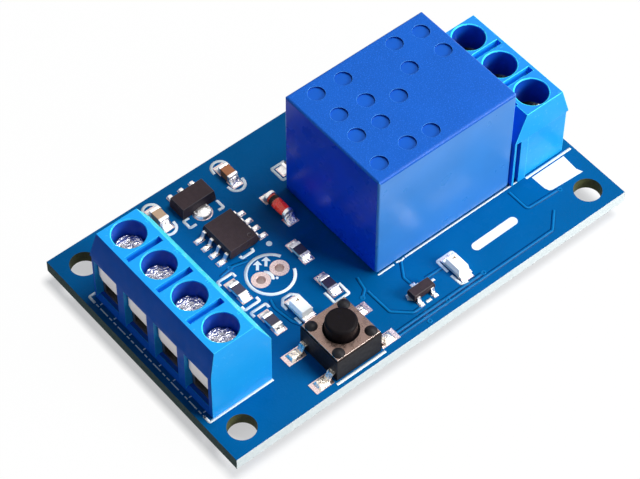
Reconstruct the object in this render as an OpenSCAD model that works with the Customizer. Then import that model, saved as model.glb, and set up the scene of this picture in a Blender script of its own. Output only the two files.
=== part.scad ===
// Latching relay board: one push button toggles one change-over relay.
// X runs along the board towards the output terminal, Y across it, Z up.
// The origin is the centre of the four fixing holes, on the underside of the board.

/* [Board] */
// Length of the board along X
board_l = 54.4; // [54:0.1:64]
// Width of the board along Y
board_w = 32.6; // [32.2:0.1:40]
// Thickness of the laminate
board_t = 1.6; // [1:0.1:2.4]
// Diameter of the four fixing holes
fixing_d = 3.2; // [2.4:0.1:3.4]
// Distance of the fixing holes from the short edges
fixing_inset_x = 2.95; // [2.2:0.05:3.4]
// Distance of the fixing holes from the long edges
fixing_inset_y = 2.8; // [2.2:0.05:3.4]
// Thickness of the tinned copper pads
pad_t = 0.05; // [0.03:0.01:0.1]
// How far every soldered tail stands out below the board
tail_l = 1.8; // [1:0.1:3]
// Height of the solder cone round each tail
solder_h = 0.9; // [0.4:0.1:1]
// Width of the solder ring round each plated hole
ring_w = 0.4; // [0.2:0.05:0.6]
// Play between a tail and its plated hole
hole_play = 0.15; // [0.1:0.05:0.3]

/* [Screw terminals] */
// Distance between two poles
pole_pitch = 5.08; // [5:0.04:5.2]
// Number of poles of the input terminal
in_poles = 4; // [2:1:4]
// Number of poles of the output terminal
out_poles = 3; // [2:1:4]
// Distance of the terminals' wire side from the short edges of the board
term_edge_gap = 1.3; // [0.6:0.1:2]
// Shift of the input terminal along Y
in_shift_y = -0.65; // [-1:0.05:1]
// Shift of the output terminal along Y
out_shift_y = -0.2; // [-1:0.05:1]
// Height of a terminal housing
term_h = 10.4; // [10:0.1:12]
// Distance from the screw axis to the wire side
term_front = 3.4; // [3.3:0.1:4]
// Distance from the screw axis to the back face
term_back = 4.4; // [4.2:0.1:5]
// Half of the width of the top face along X
term_top_half = 2.6; // [2.3:0.1:3]
// Height at which the sloping faces of a housing start
term_shoulder_z = 7.2; // [7:0.1:8]
// How far the top face draws in at each end of a housing
term_end_taper = 0.4; // [0:0.1:0.6]
// Diameter of the screwdriver holes
driver_d = 3.7; // [3.6:0.05:3.8]
// Thickness of the wall between two poles
term_rib = 1.2; // [1.1:0.05:1.3]
// Thickness of the housing floor
term_floor = 0.7; // [0.5:0.1:1]
// Height of a wire entry
entry_h = 5.9; // [5.8:0.1:6.2]
// Width of the slots between the screwdriver holes
top_slot_w = 0.75; // [0.5:0.05:0.9]
// Length of the slots between the screwdriver holes
top_slot_l = 4.4; // [3:0.1:4.8]
// Depth of the slots between the screwdriver holes
top_slot_d = 1.2; // [0.6:0.1:2]
// Width of the dovetail groove in one end of a housing
dovetail_w = 0.6; // [0.4:0.1:0.8]
// Depth of the dovetail groove
dovetail_d = 0.9; // [0.6:0.1:1.2]
// Depth of the sunk panel on one end of a housing
panel_d = 0.25; // [0.1:0.05:0.3]
// Widening of the screwdriver holes at their rim, on the radius
driver_lead_in = 0.1; // [0:0.05:0.15]

/* [Clamps and screws] */
// Height of a clamp cage
cage_h = 4.2; // [4:0.1:4.4]
// Thickness of the threaded top of a cage
cage_top_t = 0.9; // [0.7:0.1:1]
// Wall thickness of a cage
cage_wall = 0.4; // [0.3:0.05:0.5]
// Play between a cage and its housing on each side
cage_play = 0.09; // [0.05:0.01:0.15]
// Diameter of the screw shank
screw_d = 2.4; // [2.2:0.05:2.5]
// Play between the shank and the threaded hole, on the radius
thread_play = 0.05; // [0.02:0.01:0.08]
// Diameter of the screw head
head_d = 3.4; // [3.2:0.05:3.5]
// Height of the screw head
head_h = 1.3; // [1.1:0.05:1.5]
// Width of the cross recess in the screw head
recess_w = 0.65; // [0.5:0.05:0.8]
// Depth of the cross recess in the screw head
recess_d = 0.7; // [0.5:0.05:0.9]
// Travel of a screw from fully open to fully closed
screw_travel = 2; // [1.6:0.1:2]
// Thickness of a wire guard
leaf_t = 0.35; // [0.25:0.05:0.4]
// Play between a wire guard and its cage
leaf_play = 0.1; // [0.05:0.01:0.15]
// Width of a terminal tail
tail_w = 1; // [0.8:0.05:1.1]
// Thickness of a terminal tail
tail_t = 0.8; // [0.5:0.05:0.9]

/* [Relay case] */
// Length of the relay along X
relay_l = 19.1; // [18.8:0.1:19.4]
// Width of the relay along Y
relay_w = 15.3; // [15.2:0.1:16]
// Height of the relay above the board
relay_h = 15.5; // [15.3:0.1:17]
// Gap between the relay and the output terminal
relay_gap = 0.15; // [0.1:0.05:0.4]
// Shift of the relay along Y
relay_shift_y = 0.13; // [-0.5:0.01:0.5]
// Wall thickness of the relay cover
cover_wall = 0.9; // [0.7:0.05:1]
// Rounding of the cover's upright and top edges
cover_edge_r = 0.35; // [0.2:0.05:0.8]
// Gap under the relay cover
cover_standoff = 0.3; // [0.2:0.05:0.4]
// Thickness of the relay base
base_t = 1.65; // [1.4:0.05:1.8]
// Diameter of the moulding dimples in the top of the cover
dimple_d = 1.95; // [1.5:0.05:2.2]
// Depth of the moulding dimples
dimple_depth = 0.25; // [0.1:0.05:0.4]

/* [Relay works] */
// Distance of the outer rows of relay pins from the ends of the relay
pin_row_x = 2.45; // [2.4:0.05:2.6]
// Distance of the coil pins from the common pin along X
coil_pin_step = 2; // [1.9:0.05:2.1]
// Distance of the side pins from the middle plane
pin_side_y = 6; // [5.9:0.05:6.1]
// Thickness of the iron of the yoke and armature
iron_t = 1; // [0.9:0.05:1.1]
// Width of the yoke
yoke_w = 9; // [8:0.1:9.4]
// Diameter of the core
core_d = 3.6; // [3:0.1:4]
// Diameter of the core's pole face
pole_d = 6; // [5:0.1:7]
// Thickness of the pole face
pole_t = 0.8; // [0.6:0.1:1]
// Height of the bobbin between the yoke foot and the pole face
bobbin_h = 6.65; // [6.2:0.05:6.8]
// Thickness of the bobbin flanges
flange_t = 0.7; // [0.5:0.05:0.9]
// Diameter of the copper winding
winding_d = 9.6; // [8:0.1:10]
// Thickness of the contact leaf
contact_leaf_t = 0.2; // [0.15:0.01:0.25]
// Diameter of the contact buttons
button_d = 2; // [1.6:0.1:2.4]
// Thickness of each contact button
button_t = 0.4; // [0.3:0.05:0.5]
// Lift of the armature when the coil is off, in degrees
armature_lift = 2.5; // [2:0.1:2.8]

/* [Push button] */
// Side of the square switch body
switch_w = 6; // [5.8:0.1:6.2]
// Height of the switch body without the cover plate
switch_body_h = 3.15; // [3:0.05:3.4]
// Thickness of the steel cover plate
plate_t = 0.3; // [0.2:0.05:0.4]
// Diameter of the plunger
plunger_d = 3.5; // [3.2:0.1:3.6]
// Height of the plunger's top above the board
plunger_top_z = 5; // [4.3:0.1:9]
// Diameter of the hole in the cover plate
plate_hole_d = 3.95; // [3.8:0.05:4.1]
// Travel of the plunger
plunger_travel = 0.25; // [0.2:0.01:0.3]
// Diameter of the staked rivet heads
stake_d = 1.4; // [1.2:0.05:1.5]
// Distance between two rivets along a side
stake_pitch = 4.4; // [4.3:0.05:4.5]
// Distance between the two leads on one side
switch_lead_pitch = 4.5; // [4.3:0.1:4.7]
// Distance from the switch centre to the toe of a lead
switch_lead_reach = 4.7; // [4.2:0.1:5]

/* [Small parts] */
// Length of a surface-mount chip
chip_l = 2; // [1.9:0.05:2.1]
// Width of a surface-mount chip
chip_w = 1.25; // [1.15:0.05:1.35]
// Height of a chip resistor
resistor_h = 0.5; // [0.4:0.05:0.6]
// Height of a chip capacitor
capacitor_h = 1.1; // [0.8:0.05:1.3]
// Length of the metal ends of a chip
chip_end = 0.4; // [0.25:0.05:0.5]
// Length of the glass diode
diode_l = 3.5; // [3.4:0.05:3.7]
// Diameter of the glass diode
diode_d = 1.45; // [1.3:0.05:1.6]
// Length of the diode's metal ends
diode_cap_l = 0.45; // [0.3:0.05:0.6]
// Distance between the leads of the controller
soic_pitch = 1.27; // [1.2:0.01:1.35]
// Diameter of the spare sensor holes
sensor_hole_d = 1.1; // [0.9:0.05:1.2]
// Width of the copper ring round a sensor hole
sensor_ring_w = 0.52; // [0.3:0.02:0.6]
// Distance between the spare sensor holes
sensor_pitch = 2.54; // [2.5:0.01:2.6]

/* [Hidden] */
$fn = 48;
eps = 0.01;

// ---- places worked out from the driving sizes ----
top = board_t;
hole_x = board_l / 2 - fixing_inset_x;
hole_y = board_w / 2 - fixing_inset_y;
in_x = -board_l / 2 + term_edge_gap + term_front;
out_x = board_l / 2 - term_edge_gap - term_front;
in_back_x = in_x + term_back;
out_back_x = out_x - term_back;
relay_x = out_back_x - relay_gap - relay_l / 2;
relay_left_x = relay_x - relay_l / 2;

// Place along X, as a share of the way from the input terminal to the relay
function mid_x(share) = in_back_x + share * (relay_left_x - in_back_x);

// Terminal works, heights above the board
entry_top_z = term_floor + entry_h;
cage_w = pole_pitch - term_rib - 2 * cage_play;
cage_top_z = term_floor + cage_h;
guard_top_z = cage_top_z - cage_top_t - leaf_play / 2;
guard_bottom_z = guard_top_z - leaf_t;
guard_face_top_z = entry_top_z - leaf_play;
guard_face_x = -term_front + 0.4;
cage_front_x = guard_face_x + leaf_t + leaf_play;
cage_back_x = 2.3;
cavity_back_x = cage_back_x + cage_play;
head_bottom_z = cage_top_z + screw_travel + thread_play;
tail_x = 0.6;
tail_hole_d = norm([tail_w, tail_t]) + 2 * hole_play;
panel_end_x = term_back - 2;
panel_top_gap = 0.2;

// Relay works, heights above the board, places from the relay's centre
base_top_z = cover_standoff + base_t;
bobbin_z = base_top_z + iron_t;
pole_z = bobbin_z + bobbin_h;
hinge_z = pole_z + pole_t;
pin_x = relay_l / 2 - pin_row_x;
works_gap = 0.7;
hinge_x = -relay_l / 2 + cover_wall + works_gap;
yoke_gap = 0.35;
blade_t = 0.4;
blade_w = 1.8;
blade_gap = 1.8;
flange_l = pin_x - blade_w / 2 - blade_gap - (hinge_x + iron_t + yoke_gap);
flange_w = 10.6;
core_x = hinge_x + iron_t + yoke_gap + flange_l / 2;
contact_x = pin_x - 0.6;
contact_play = 0.03;
arm_l = contact_x - hinge_x;
armature_l = core_x + pole_d / 2 + 2 - hinge_x;
open_top_z = hinge_z + iron_t - button_t - contact_play;
closed_bottom_z = hinge_z + (arm_l + button_d / 2) * sin(armature_lift)
  + (iron_t + contact_leaf_t + button_t) * cos(armature_lift) + contact_play;
rivet_x = [3, 6.5];
rivet_d = 1.2;
rivet_head_t = 0.3;
leaf_w = 4.4;
leaf_neck_w = 2.8;
leaf_drop = 4;
leaf_gap = 0.2;
pin_w = 1;
pin_t = 0.5;
pin_channel_h = 5;
coil_pin_w = 0.6;
relay_hole_d = norm([pin_w, pin_t]) + 2 * hole_play;
dimples = [
  [-6.7, 5.8], [-3.2, 5.6], [4.2, 5.9], [7.5, 5.4],
  [-6.7, 2.1], [-3.3, 1.8], [3.2, 2.3], [7.6, 1.9],
  [-7.1, -1.2], [-4, -1.4], [-0.2, 0.1],
  [-7.7, -5.5], [-3.7, -5.3], [-0.7, -5.6]
];

// Push button, heights above the board
near_row_inset = 3.95;
switch_at = [mid_x(0.471), -board_w / 2 + near_row_inset];
well_d = plunger_d + 1.4;
well_z = 1.2;
well_sink = 0.15;
dome_d = well_d - 0.5;
dome_rise = 0.55;
dome_t = 0.1;
nub_z = well_z + dome_rise + dome_t + 0.02;
lead_z = 0.9;
lead_t = 0.2;
lead_w = 0.8;
finger_d = 1;
plate_inset = 0.1;
stake_shank_d = 0.9;
stake_rise = 0.4;
nub_d = 2;
nub_h = 0.55;
flange_play = 0.1;
plunger_chamfer = 0.2;

// Small parts: places on the board; a third value turns a chip
transistor_x = 2.15;
indicator_2_x = 7.25;
hidden_chip_x = 2.55;
hidden_chip_gap = 2.04;
chip_row_inset = 3.2;
regulator_inset = 3.7;
controller_at = [mid_x(0.475), 6.15];
regulator_at = [mid_x(0.466), board_w / 2 - regulator_inset];
transistor_at = [relay_left_x + transistor_x, -board_w / 2 + near_row_inset];
diode_at = [mid_x(0.861), 5.95];
sensor_at = [mid_x(0.491), -0.25];
capacitor_1_at = [mid_x(0.218), board_w / 2 - chip_row_inset];
capacitor_2_at = [mid_x(0.779), board_w / 2 - chip_row_inset];
resistor_at = [
  [mid_x(0.251), 0.1, 0],
  [mid_x(0.265), -5.3, 0],
  [mid_x(0.746), 0, 0],
  [mid_x(0.72), -5.33, 0],
  [relay_left_x + hidden_chip_x, relay_shift_y + relay_w / 2 + hidden_chip_gap, 90]
];
indicator_1_at = [mid_x(0.46), -6];
indicator_2_at = [relay_left_x + indicator_2_x, -board_w / 2 + near_row_inset];
indicator_l = 3.2;
indicator_w = 1.6;
indicator_end = 0.5;
lens_body = [indicator_l - 0.9, 0, 0.75, 0.12];

// Package bodies: [length, height of the underside, height of the top, draft]
soic_body = [4.9, 0.1, 1.5, 0.14];
sot23_body = [2.9, 0.08, 1.05, 0.08];
sot89_body = [4.5, 0, 1.5, 0.12];
key_dot_d = 0.5;
key_dot_depth = 0.08;
tab_w = 1.8;
tab_reach = 0.45;
tab_pad_d = 2.3;
sot89_pitch = 1.5;

// Pads reach past the toe, behind the heel and beside the foot of a lead
pad_toe = 0.3;
pad_heel = 0.2;
pad_side = 0.1;

// Leads: [half width of the body, reach of the toe, thickness, width, height of the exit, foot]
soic = [1.95, 3.1, 0.2, 0.42, 0.75, 0.7];
sot23 = [0.65, 1.2, 0.15, 0.42, 0.55, 0.35];
sot89 = [1.25, 2.1, 0.35, 0.48, 0.175, 0.8];

// ---- shared shapes ----

// Block centred on X and Y, standing on z
module slab(x, y, z, at = [0, 0, 0]) {
  translate([at[0] - x / 2, at[1] - y / 2, at[2]]) cube([x, y, z]);
}

// Rectangle with round corners, all arcs
module round_rect(x, y, r) {
  square([x - 2 * r, y], center = true);
  square([x, y - 2 * r], center = true);
  for (sx = [-1, 1], sy = [-1, 1])
    translate([sx * (x / 2 - r), sy * (y / 2 - r)]) circle(r);
}

// Upright block whose top edges are rounded as well as its corners
module soft_block(x, y, z, r) {
  intersection() {
    linear_extrude(z) round_rect(x, y, r);
    translate([0, y / 2 + 1, z / 2]) rotate([90, 0, 0])
      linear_extrude(y + 2) translate([0, -z / 2]) round_rect(x, 2 * z, r);
    translate([-x / 2 - 1, 0, z / 2]) rotate([90, 0, 90])
      linear_extrude(x + 2) translate([0, -z / 2]) round_rect(y, 2 * z, r);
  }
}

// Moulded chip body: two drafted halves with an upright band at the parting line
module moulded_body(x, body, band_z, band_t) {
  y = body[0];
  z0 = body[1];
  z1 = body[2];
  draft = body[3];
  module side(w) {
    polygon([
      [-w / 2 + draft, z0], [-w / 2, band_z], [-w / 2, band_z + band_t], [-w / 2 + draft, z1],
      [w / 2 - draft, z1], [w / 2, band_z + band_t], [w / 2, band_z], [w / 2 - draft, z0]
    ]);
  }
  intersection() {
    translate([0, y / 2, 0]) rotate([90, 0, 0]) linear_extrude(y) side(x);
    translate([-x / 2, 0, 0]) rotate([90, 0, 90]) linear_extrude(x) side(y);
  }
}

// Gull-wing lead leaving a body towards +X
module gull_lead(spec) {
  half = spec[0];
  reach = spec[1];
  t = spec[2];
  w = spec[3];
  z = spec[4];
  foot = spec[5];
  knee = (reach - half - foot) * 0.35;
  translate([0, w / 2, 0]) rotate([90, 0, 0]) linear_extrude(w) polygon([
    [half, z], [half, z + t], [half + knee + t * 0.5, z + t], [reach - foot + t * 0.5, t],
    [reach, t], [reach, 0], [reach - foot, 0], [half + knee, z]
  ]);
}

// Straight lead leaving a body towards +X at the level of its foot
module flat_lead(spec) {
  translate([spec[0], -spec[3] / 2, 0]) cube([spec[1] - spec[0], spec[3], spec[2]]);
}

// Two solder pads of a chip that lies along Y
module pad_pair(inner, outer, w) {
  for (s = [-1, 1])
    slab(w, outer - inner, pad_t, [0, s * (inner + outer) / 2, 0]);
}

// Ceramic body of a chip that lies along Y
module chip_body(h, l = chip_l, w = chip_w, end = chip_end) {
  slab(w - 0.04, l - 2 * end, h - 0.04, [0, 0, pad_t + 0.02]);
}

// Plated ends of a chip that lies along Y
module chip_ends(h, l = chip_l, w = chip_w, end = chip_end) {
  for (s = [-1, 1]) slab(w, end, h, [0, s * (l - end) / 2, pad_t]);
}

// ---- tails through the board ----

// Middles of the poles along Y
function pole_y(i, poles) = (i - (poles - 1) / 2) * pole_pitch;

// Places of the terminals' tails
in_tails = [for (i = [0 : in_poles - 1]) [in_x + tail_x, in_shift_y + pole_y(i, in_poles)]];
out_tails = [for (i = [0 : out_poles - 1]) [out_x - tail_x, out_shift_y + pole_y(i, out_poles)]];

// Places of the relay's tails
contact_pin_at = [[pin_x, pin_side_y], [pin_x, -pin_side_y]];
coil_pin_at = [for (s = [-1, 1]) [-pin_x + coil_pin_step, s * pin_side_y]];
common_pin_at = [-pin_x, 0];

module at_relay() {
  translate([relay_x, relay_shift_y, top]) children();
}

// Tail of a relay terminal from the tip to a height above the board
module relay_pin(at, w, t, up) {
  slab(w, t, up + board_t + tail_l, [at[0], at[1], -board_t - tail_l]);
}

module relay_pins() {
  for (p = contact_pin_at) relay_pin(p, pin_w, blade_t, base_top_z);
  for (p = coil_pin_at) relay_pin(p, coil_pin_w, coil_pin_w, base_top_z);
  relay_pin(common_pin_at, pin_t, pin_w, base_top_z);
}

// Every tail, as [x, y, diameter of its plated hole]
tails = concat(
  [for (p = in_tails) [p[0], p[1], tail_hole_d]],
  [for (p = out_tails) [p[0], p[1], tail_hole_d]],
  [for (p = concat(contact_pin_at, coil_pin_at, [common_pin_at]))
    [p[0] + relay_x, p[1] + relay_shift_y, relay_hole_d]]
);

// The square tails themselves
module tail_solids() {
  for (p = concat(in_tails, out_tails))
    slab(tail_w, tail_t, board_t + tail_l + term_floor, [p[0], p[1], -tail_l]);
  at_relay() relay_pins();
}

// ---- board ----

module sensor_holes(d, z, h) {
  for (s = [-1, 1])
    translate([sensor_at[0] + s * sensor_pitch / 2, sensor_at[1], z]) cylinder(d = d, h = h);
}

module circuit_board() {
  color("#0a5c9e") difference() {
    slab(board_l, board_w, board_t);
    for (sx = [-1, 1], sy = [-1, 1])
      translate([sx * hole_x, sy * hole_y, -1]) cylinder(d = fixing_d, h = board_t + 2);
    for (p = tails) translate([p[0], p[1], -1]) cylinder(d = p[2], h = board_t + 2);
    sensor_holes(sensor_hole_d, -1, board_t + 2);
  }
}

// Lead pads of one side of a package whose leads leave towards +X
module lead_pads(spec, places) {
  for (y = places)
    slab(spec[5] + pad_toe + pad_heel, spec[3] + 2 * pad_side, pad_t,
      [spec[1] - spec[5] / 2 + (pad_toe - pad_heel) / 2, y, 0]);
}

soic_rows = [for (i = [-1.5 : 1 : 1.5]) i * soic_pitch];

module copper_pads() {
  color("#d8d4cf") {
    for (p = resistor_at)
      at_chip(p) pad_pair(chip_l / 2 - chip_end - 0.1, chip_l / 2 + 0.7, chip_w + 0.15);
    translate([0, 0, top]) {
      for (p = [capacitor_1_at, capacitor_2_at])
        translate(p) pad_pair(chip_l / 2 - chip_end - 0.1, chip_l / 2 + 0.9, chip_w + 0.1);
      for (p = [indicator_1_at, indicator_2_at])
        translate(p) pad_pair(indicator_l / 2 - indicator_end - 0.1, indicator_l / 2 + 0.35,
          indicator_w - 0.1);
      translate(diode_at) pad_pair(diode_l / 2 - diode_cap_l, diode_l / 2 + 0.85, diode_d);
      translate(controller_at) for (a = [0, 180]) rotate(a) lead_pads(soic, soic_rows);
      translate(transistor_at) {
        rotate(-90) lead_pads(sot23, [-0.95, 0.95]);
        rotate(90) lead_pads(sot23, [0]);
      }
      translate(regulator_at) {
        rotate(90) lead_pads(sot89, [-sot89_pitch, 0, sot89_pitch]);
        translate([0, -sot89[0] - tab_reach, 0]) cylinder(d = tab_pad_d, h = pad_t);
      }
      translate(switch_at) for (sx = [-1, 1], sy = [-1, 1])
        slab(2.4, 1.5, pad_t, [sx * (switch_w / 2 + 1.5), sy * switch_lead_pitch / 2, 0]);
      difference() {
        translate([0, 0, -top]) sensor_holes(sensor_hole_d + 2 * sensor_ring_w, top, pad_t);
        translate([0, 0, -top]) sensor_holes(sensor_hole_d, top - 1, 2);
      }
    }
    difference() {
      union() {
        for (p = tails)
          translate([p[0], p[1], -pad_t]) cylinder(d = p[2] + 2 * ring_w, h = pad_t);
        sensor_holes(sensor_hole_d + 2 * sensor_ring_w, -pad_t, pad_t);
      }
      for (p = tails) translate([p[0], p[1], -1]) cylinder(d = p[2], h = 2);
      sensor_holes(sensor_hole_d, -1, 2);
    }
  }
}

// Solder that fills the plated holes and climbs each tail as a cone
module solder_joints() {
  color("#c9ccd1") difference() {
    for (p = tails) translate([p[0], p[1], 0]) {
      translate([0, 0, -pad_t]) cylinder(d = p[2], h = board_t + pad_t);
      translate([0, 0, -pad_t - solder_h])
        cylinder(d1 = p[2] - hole_play, d2 = p[2] + 1.6 * ring_w, h = solder_h);
    }
    tail_solids();
  }
}

// ---- screw terminals: wire side towards -X, screw axis on the origin's Z ----

module term_body(poles) {
  len = poles * pole_pitch;
  intersection() {
    translate([0, len / 2, 0]) rotate([90, 0, 0]) linear_extrude(len) polygon([
      [-term_front, 0], [-term_front, term_shoulder_z], [-term_top_half, term_h],
      [term_top_half, term_h], [term_back, term_shoulder_z], [term_back, 0]
    ]);
    translate([-term_front, 0, 0]) rotate([90, 0, 90]) linear_extrude(term_front + term_back) polygon([
      [-len / 2, 0], [-len / 2, term_shoulder_z], [-len / 2 + term_end_taper, term_h],
      [len / 2 - term_end_taper, term_h], [len / 2, term_shoulder_z], [len / 2, 0]
    ]);
  }
}

module terminal_housing(poles) {
  len = poles * pole_pitch;
  groove_x = term_back - 0.9;
  difference() {
    term_body(poles);
    for (i = [0 : poles - 1]) translate([0, pole_y(i, poles), 0]) {
      // cavity for the cage, open as the wire entry
      translate([-term_front - 1, -(pole_pitch - term_rib) / 2, term_floor])
        cube([term_front + 1 + cavity_back_x, pole_pitch - term_rib, entry_h]);
      // sloping sill below the wire entry
      translate([-term_front, 0, term_floor]) rotate([0, 45, 0])
        cube([0.5, pole_pitch - term_rib, 0.5], center = true);
      // screwdriver hole with a small lead-in
      translate([0, 0, entry_top_z - eps]) cylinder(d = driver_d, h = term_h);
      translate([0, 0, term_h - driver_lead_in])
        cylinder(d1 = driver_d, d2 = driver_d + 2 * (driver_lead_in + eps), h = driver_lead_in + eps);
      // slot for the tail
      slab(tail_w + 2 * cage_play, tail_t + 2 * cage_play, term_floor + 2, [tail_x, 0, -1]);
      // nick in the back top edge
      slab(0.5, 0.7, 1, [term_top_half, 0, term_h - 0.35]);
    }
    // slots between the screwdriver holes
    if (poles > 1) for (i = [0 : poles - 2])
      slab(top_slot_l, top_slot_w, term_h, [0, (pole_y(i, poles) + pole_y(i + 1, poles)) / 2,
        term_h - top_slot_d]);
    // dovetail groove that takes the next terminal in a row
    translate([0, len / 2, -1]) linear_extrude(term_shoulder_z + 0.8) polygon([
      [groove_x, 1], [groove_x, 0], [groove_x - 0.25, -dovetail_d],
      [groove_x + dovetail_w + 0.1, -dovetail_d], [groove_x + dovetail_w, 0], [groove_x + dovetail_w, 1]
    ]);
    // shallow sunk panel on the same end
    translate([-term_front - 1, len / 2 - panel_d, -1])
      cube([term_front + 1 + panel_end_x, 1 + panel_d, 1 + term_shoulder_z - panel_top_gap]);
  }
}

// Bent clamp cage with a threaded top and its tail
module clamp_cage() {
  l = cage_back_x - cage_front_x;
  mid_x = (cage_back_x + cage_front_x) / 2;
  difference() {
    slab(l, cage_w, cage_h, [mid_x, 0, term_floor]);
    slab(l + 2, cage_w - 2 * cage_wall, cage_h - cage_top_t - cage_wall,
      [mid_x, 0, term_floor + cage_wall]);
    translate([0, 0, cage_top_z - cage_top_t - 1])
      cylinder(d = screw_d + 2 * thread_play, h = cage_top_t + 2);
  }
  slab(tail_w, tail_t, term_floor + board_t + tail_l + cage_wall / 2, [tail_x, 0, -board_t - tail_l]);
}

// Wire guard: a strip bent down in front of the cage, with a tongue under the screw
module wire_guard(drop) {
  face_w = cage_w - 0.2;
  tongue_w = cage_w - 2 * cage_wall - 2 * leaf_play;
  translate([0, 0, -drop]) {
    translate([guard_face_x + leaf_t, 0, 0]) rotate([0, -90, 0]) linear_extrude(leaf_t) polygon([
      [guard_bottom_z, -face_w / 2 + 0.5], [guard_bottom_z + 0.5, -face_w / 2],
      [guard_face_top_z, -face_w / 2], [guard_face_top_z, face_w / 2],
      [guard_bottom_z + 0.5, face_w / 2], [guard_bottom_z, face_w / 2 - 0.5]
    ]);
    translate([guard_face_x, -tongue_w / 2, guard_bottom_z])
      cube([cage_back_x - 0.7 - guard_face_x, tongue_w, leaf_t]);
  }
}

// Clamp screw with a cross recess
module clamp_screw(drop) {
  head_top_z = head_bottom_z + head_h;
  translate([0, 0, -drop]) difference() {
    union() {
      translate([0, 0, guard_top_z + 0.02])
        cylinder(d = screw_d, h = head_bottom_z - guard_top_z);
      translate([0, 0, head_bottom_z]) cylinder(d = head_d, h = head_h - 0.2);
      translate([0, 0, head_top_z - 0.2]) cylinder(d1 = head_d, d2 = head_d - 0.4, h = 0.2);
    }
    for (a = [0, 90]) rotate(a + 45)
      slab(head_d * 0.62, recess_w, recess_d + 1, [0, 0, head_top_z - recess_d]);
    rotate(45) slab(head_d + 1, recess_w, 1, [0, 0, head_top_z - recess_d * 0.6]);
  }
}

module at_input() {
  translate([in_x, in_shift_y, top]) children();
}

module at_output() {
  translate([out_x, out_shift_y, top]) rotate(180) children();
}

// Pole number counted from the -Y end of the board
module at_in_pole(n) {
  at_input() translate([0, pole_y(n - 1, in_poles), 0]) children();
}

module at_out_pole(n) {
  at_output() translate([0, -pole_y(n - 1, out_poles), 0]) children();
}

module in_housing() {
  color("#2f86f0") at_input() terminal_housing(in_poles);
}

module out_housing() {
  color("#2f86f0") at_output() terminal_housing(out_poles);
}

module in_clamps() {
  color("#b9bcc0") for (n = [1 : in_poles]) at_in_pole(n) clamp_cage();
}

module out_clamps() {
  color("#b9bcc0") for (n = [1 : out_poles]) at_out_pole(n) clamp_cage();
}

// The input screws stand fully open and the output screws fully closed
module in_guard(n) {
  color("#c4bfb8") if (n <= in_poles) at_in_pole(n) wire_guard(0);
}

module in_screw(n) {
  color("#dcdcd8") if (n <= in_poles) at_in_pole(n) clamp_screw(0);
}

module out_guard(n) {
  color("#c4bfb8") if (n <= out_poles) at_out_pole(n) wire_guard(screw_travel);
}

module out_screw(n) {
  color("#dcdcd8") if (n <= out_poles) at_out_pole(n) clamp_screw(screw_travel);
}

// ---- relay ----

module relay_cover() {
  color("#1f5fd8") at_relay() difference() {
    translate([0, 0, cover_standoff])
      soft_block(relay_l, relay_w, relay_h - cover_standoff, cover_edge_r);
    slab(relay_l - 2 * cover_wall, relay_w - 2 * cover_wall, relay_h - cover_wall);
    for (p = dimples) translate([p[0], p[1], relay_h - dimple_depth]) cylinder(d = dimple_d, h = 1);
  }
}

module relay_base() {
  color("#16335e") at_relay() difference() {
    union() {
      slab(relay_l - 2 * cover_wall, relay_w - 2 * cover_wall, base_t, [0, 0, cover_standoff]);
      for (sx = [-1, 1], sy = [-1, 1])
        translate([sx * (relay_l / 2 - 2.6), sy * (relay_w / 2 - 3.6), 0])
          cylinder(d = 1.4, h = cover_standoff + eps);
    }
    relay_pins();
  }
}

module relay_bobbin() {
  color("#e9e6dc") at_relay() difference() {
    union() {
      for (z = [bobbin_z, bobbin_z + bobbin_h - flange_t])
        translate([core_x, 0, z]) linear_extrude(flange_t) round_rect(flange_l, flange_w, 1);
      translate([core_x, 0, bobbin_z]) cylinder(d = core_d + 1.4, h = bobbin_h);
      for (p = coil_pin_at)
        slab(coil_pin_w + 1, coil_pin_w + 0.8, iron_t + flange_t, [p[0], p[1], base_top_z]);
      for (s = [-1, 1])
        slab(coil_pin_w + 1, 1.2, flange_t, [coil_pin_at[0][0], s * (flange_w / 2), bobbin_z]);
    }
    translate([core_x, 0, 0]) cylinder(d = core_d, h = pole_z + 1);
    for (p = coil_pin_at) slab(coil_pin_w, coil_pin_w, bobbin_z + pin_channel_h, [p[0], p[1], 0]);
  }
}

module relay_winding() {
  color("#b5562a") at_relay() translate([core_x, 0, bobbin_z + flange_t]) difference() {
    cylinder(d = winding_d, h = bobbin_h - 2 * flange_t);
    translate([0, 0, -1]) cylinder(d = core_d + 1.4, h = bobbin_h);
  }
}

module relay_core() {
  color("#9a9c9f") at_relay() translate([core_x, 0, 0]) {
    translate([0, 0, base_top_z]) cylinder(d = core_d, h = pole_z - base_top_z + eps);
    translate([0, 0, pole_z]) cylinder(d = pole_d, h = pole_t);
  }
}

// L-shaped iron: foot under the bobbin, upright behind it with the hinge edge on top
module relay_yoke() {
  foot_l = core_x + pole_d / 2 - hinge_x;
  color("#8f9296") at_relay() difference() {
    union() {
      slab(foot_l, yoke_w, iron_t, [hinge_x + foot_l / 2, 0, base_top_z]);
      slab(iron_t, yoke_w, hinge_z - base_top_z, [hinge_x + iron_t / 2, 0, base_top_z]);
    }
    translate([core_x, 0, 0]) cylinder(d = core_d, h = bobbin_z + 1);
  }
}

// Places on the armature, measured from the hinge edge while it lies flat
module at_armature() {
  at_relay() translate([hinge_x, 0, hinge_z]) rotate([0, -armature_lift, 0]) children();
}

module relay_armature() {
  color("#a3a5a8") at_armature() {
    slab(armature_l, yoke_w - 0.5, iron_t, [armature_l / 2, 0, 0]);
    for (x = rivet_x) translate([x, 0, iron_t - eps]) {
      cylinder(d = rivet_d, h = contact_leaf_t + eps);
      translate([0, 0, contact_leaf_t + eps])
        cylinder(d1 = rivet_d + 0.7, d2 = rivet_d, h = rivet_head_t);
    }
  }
}

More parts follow.
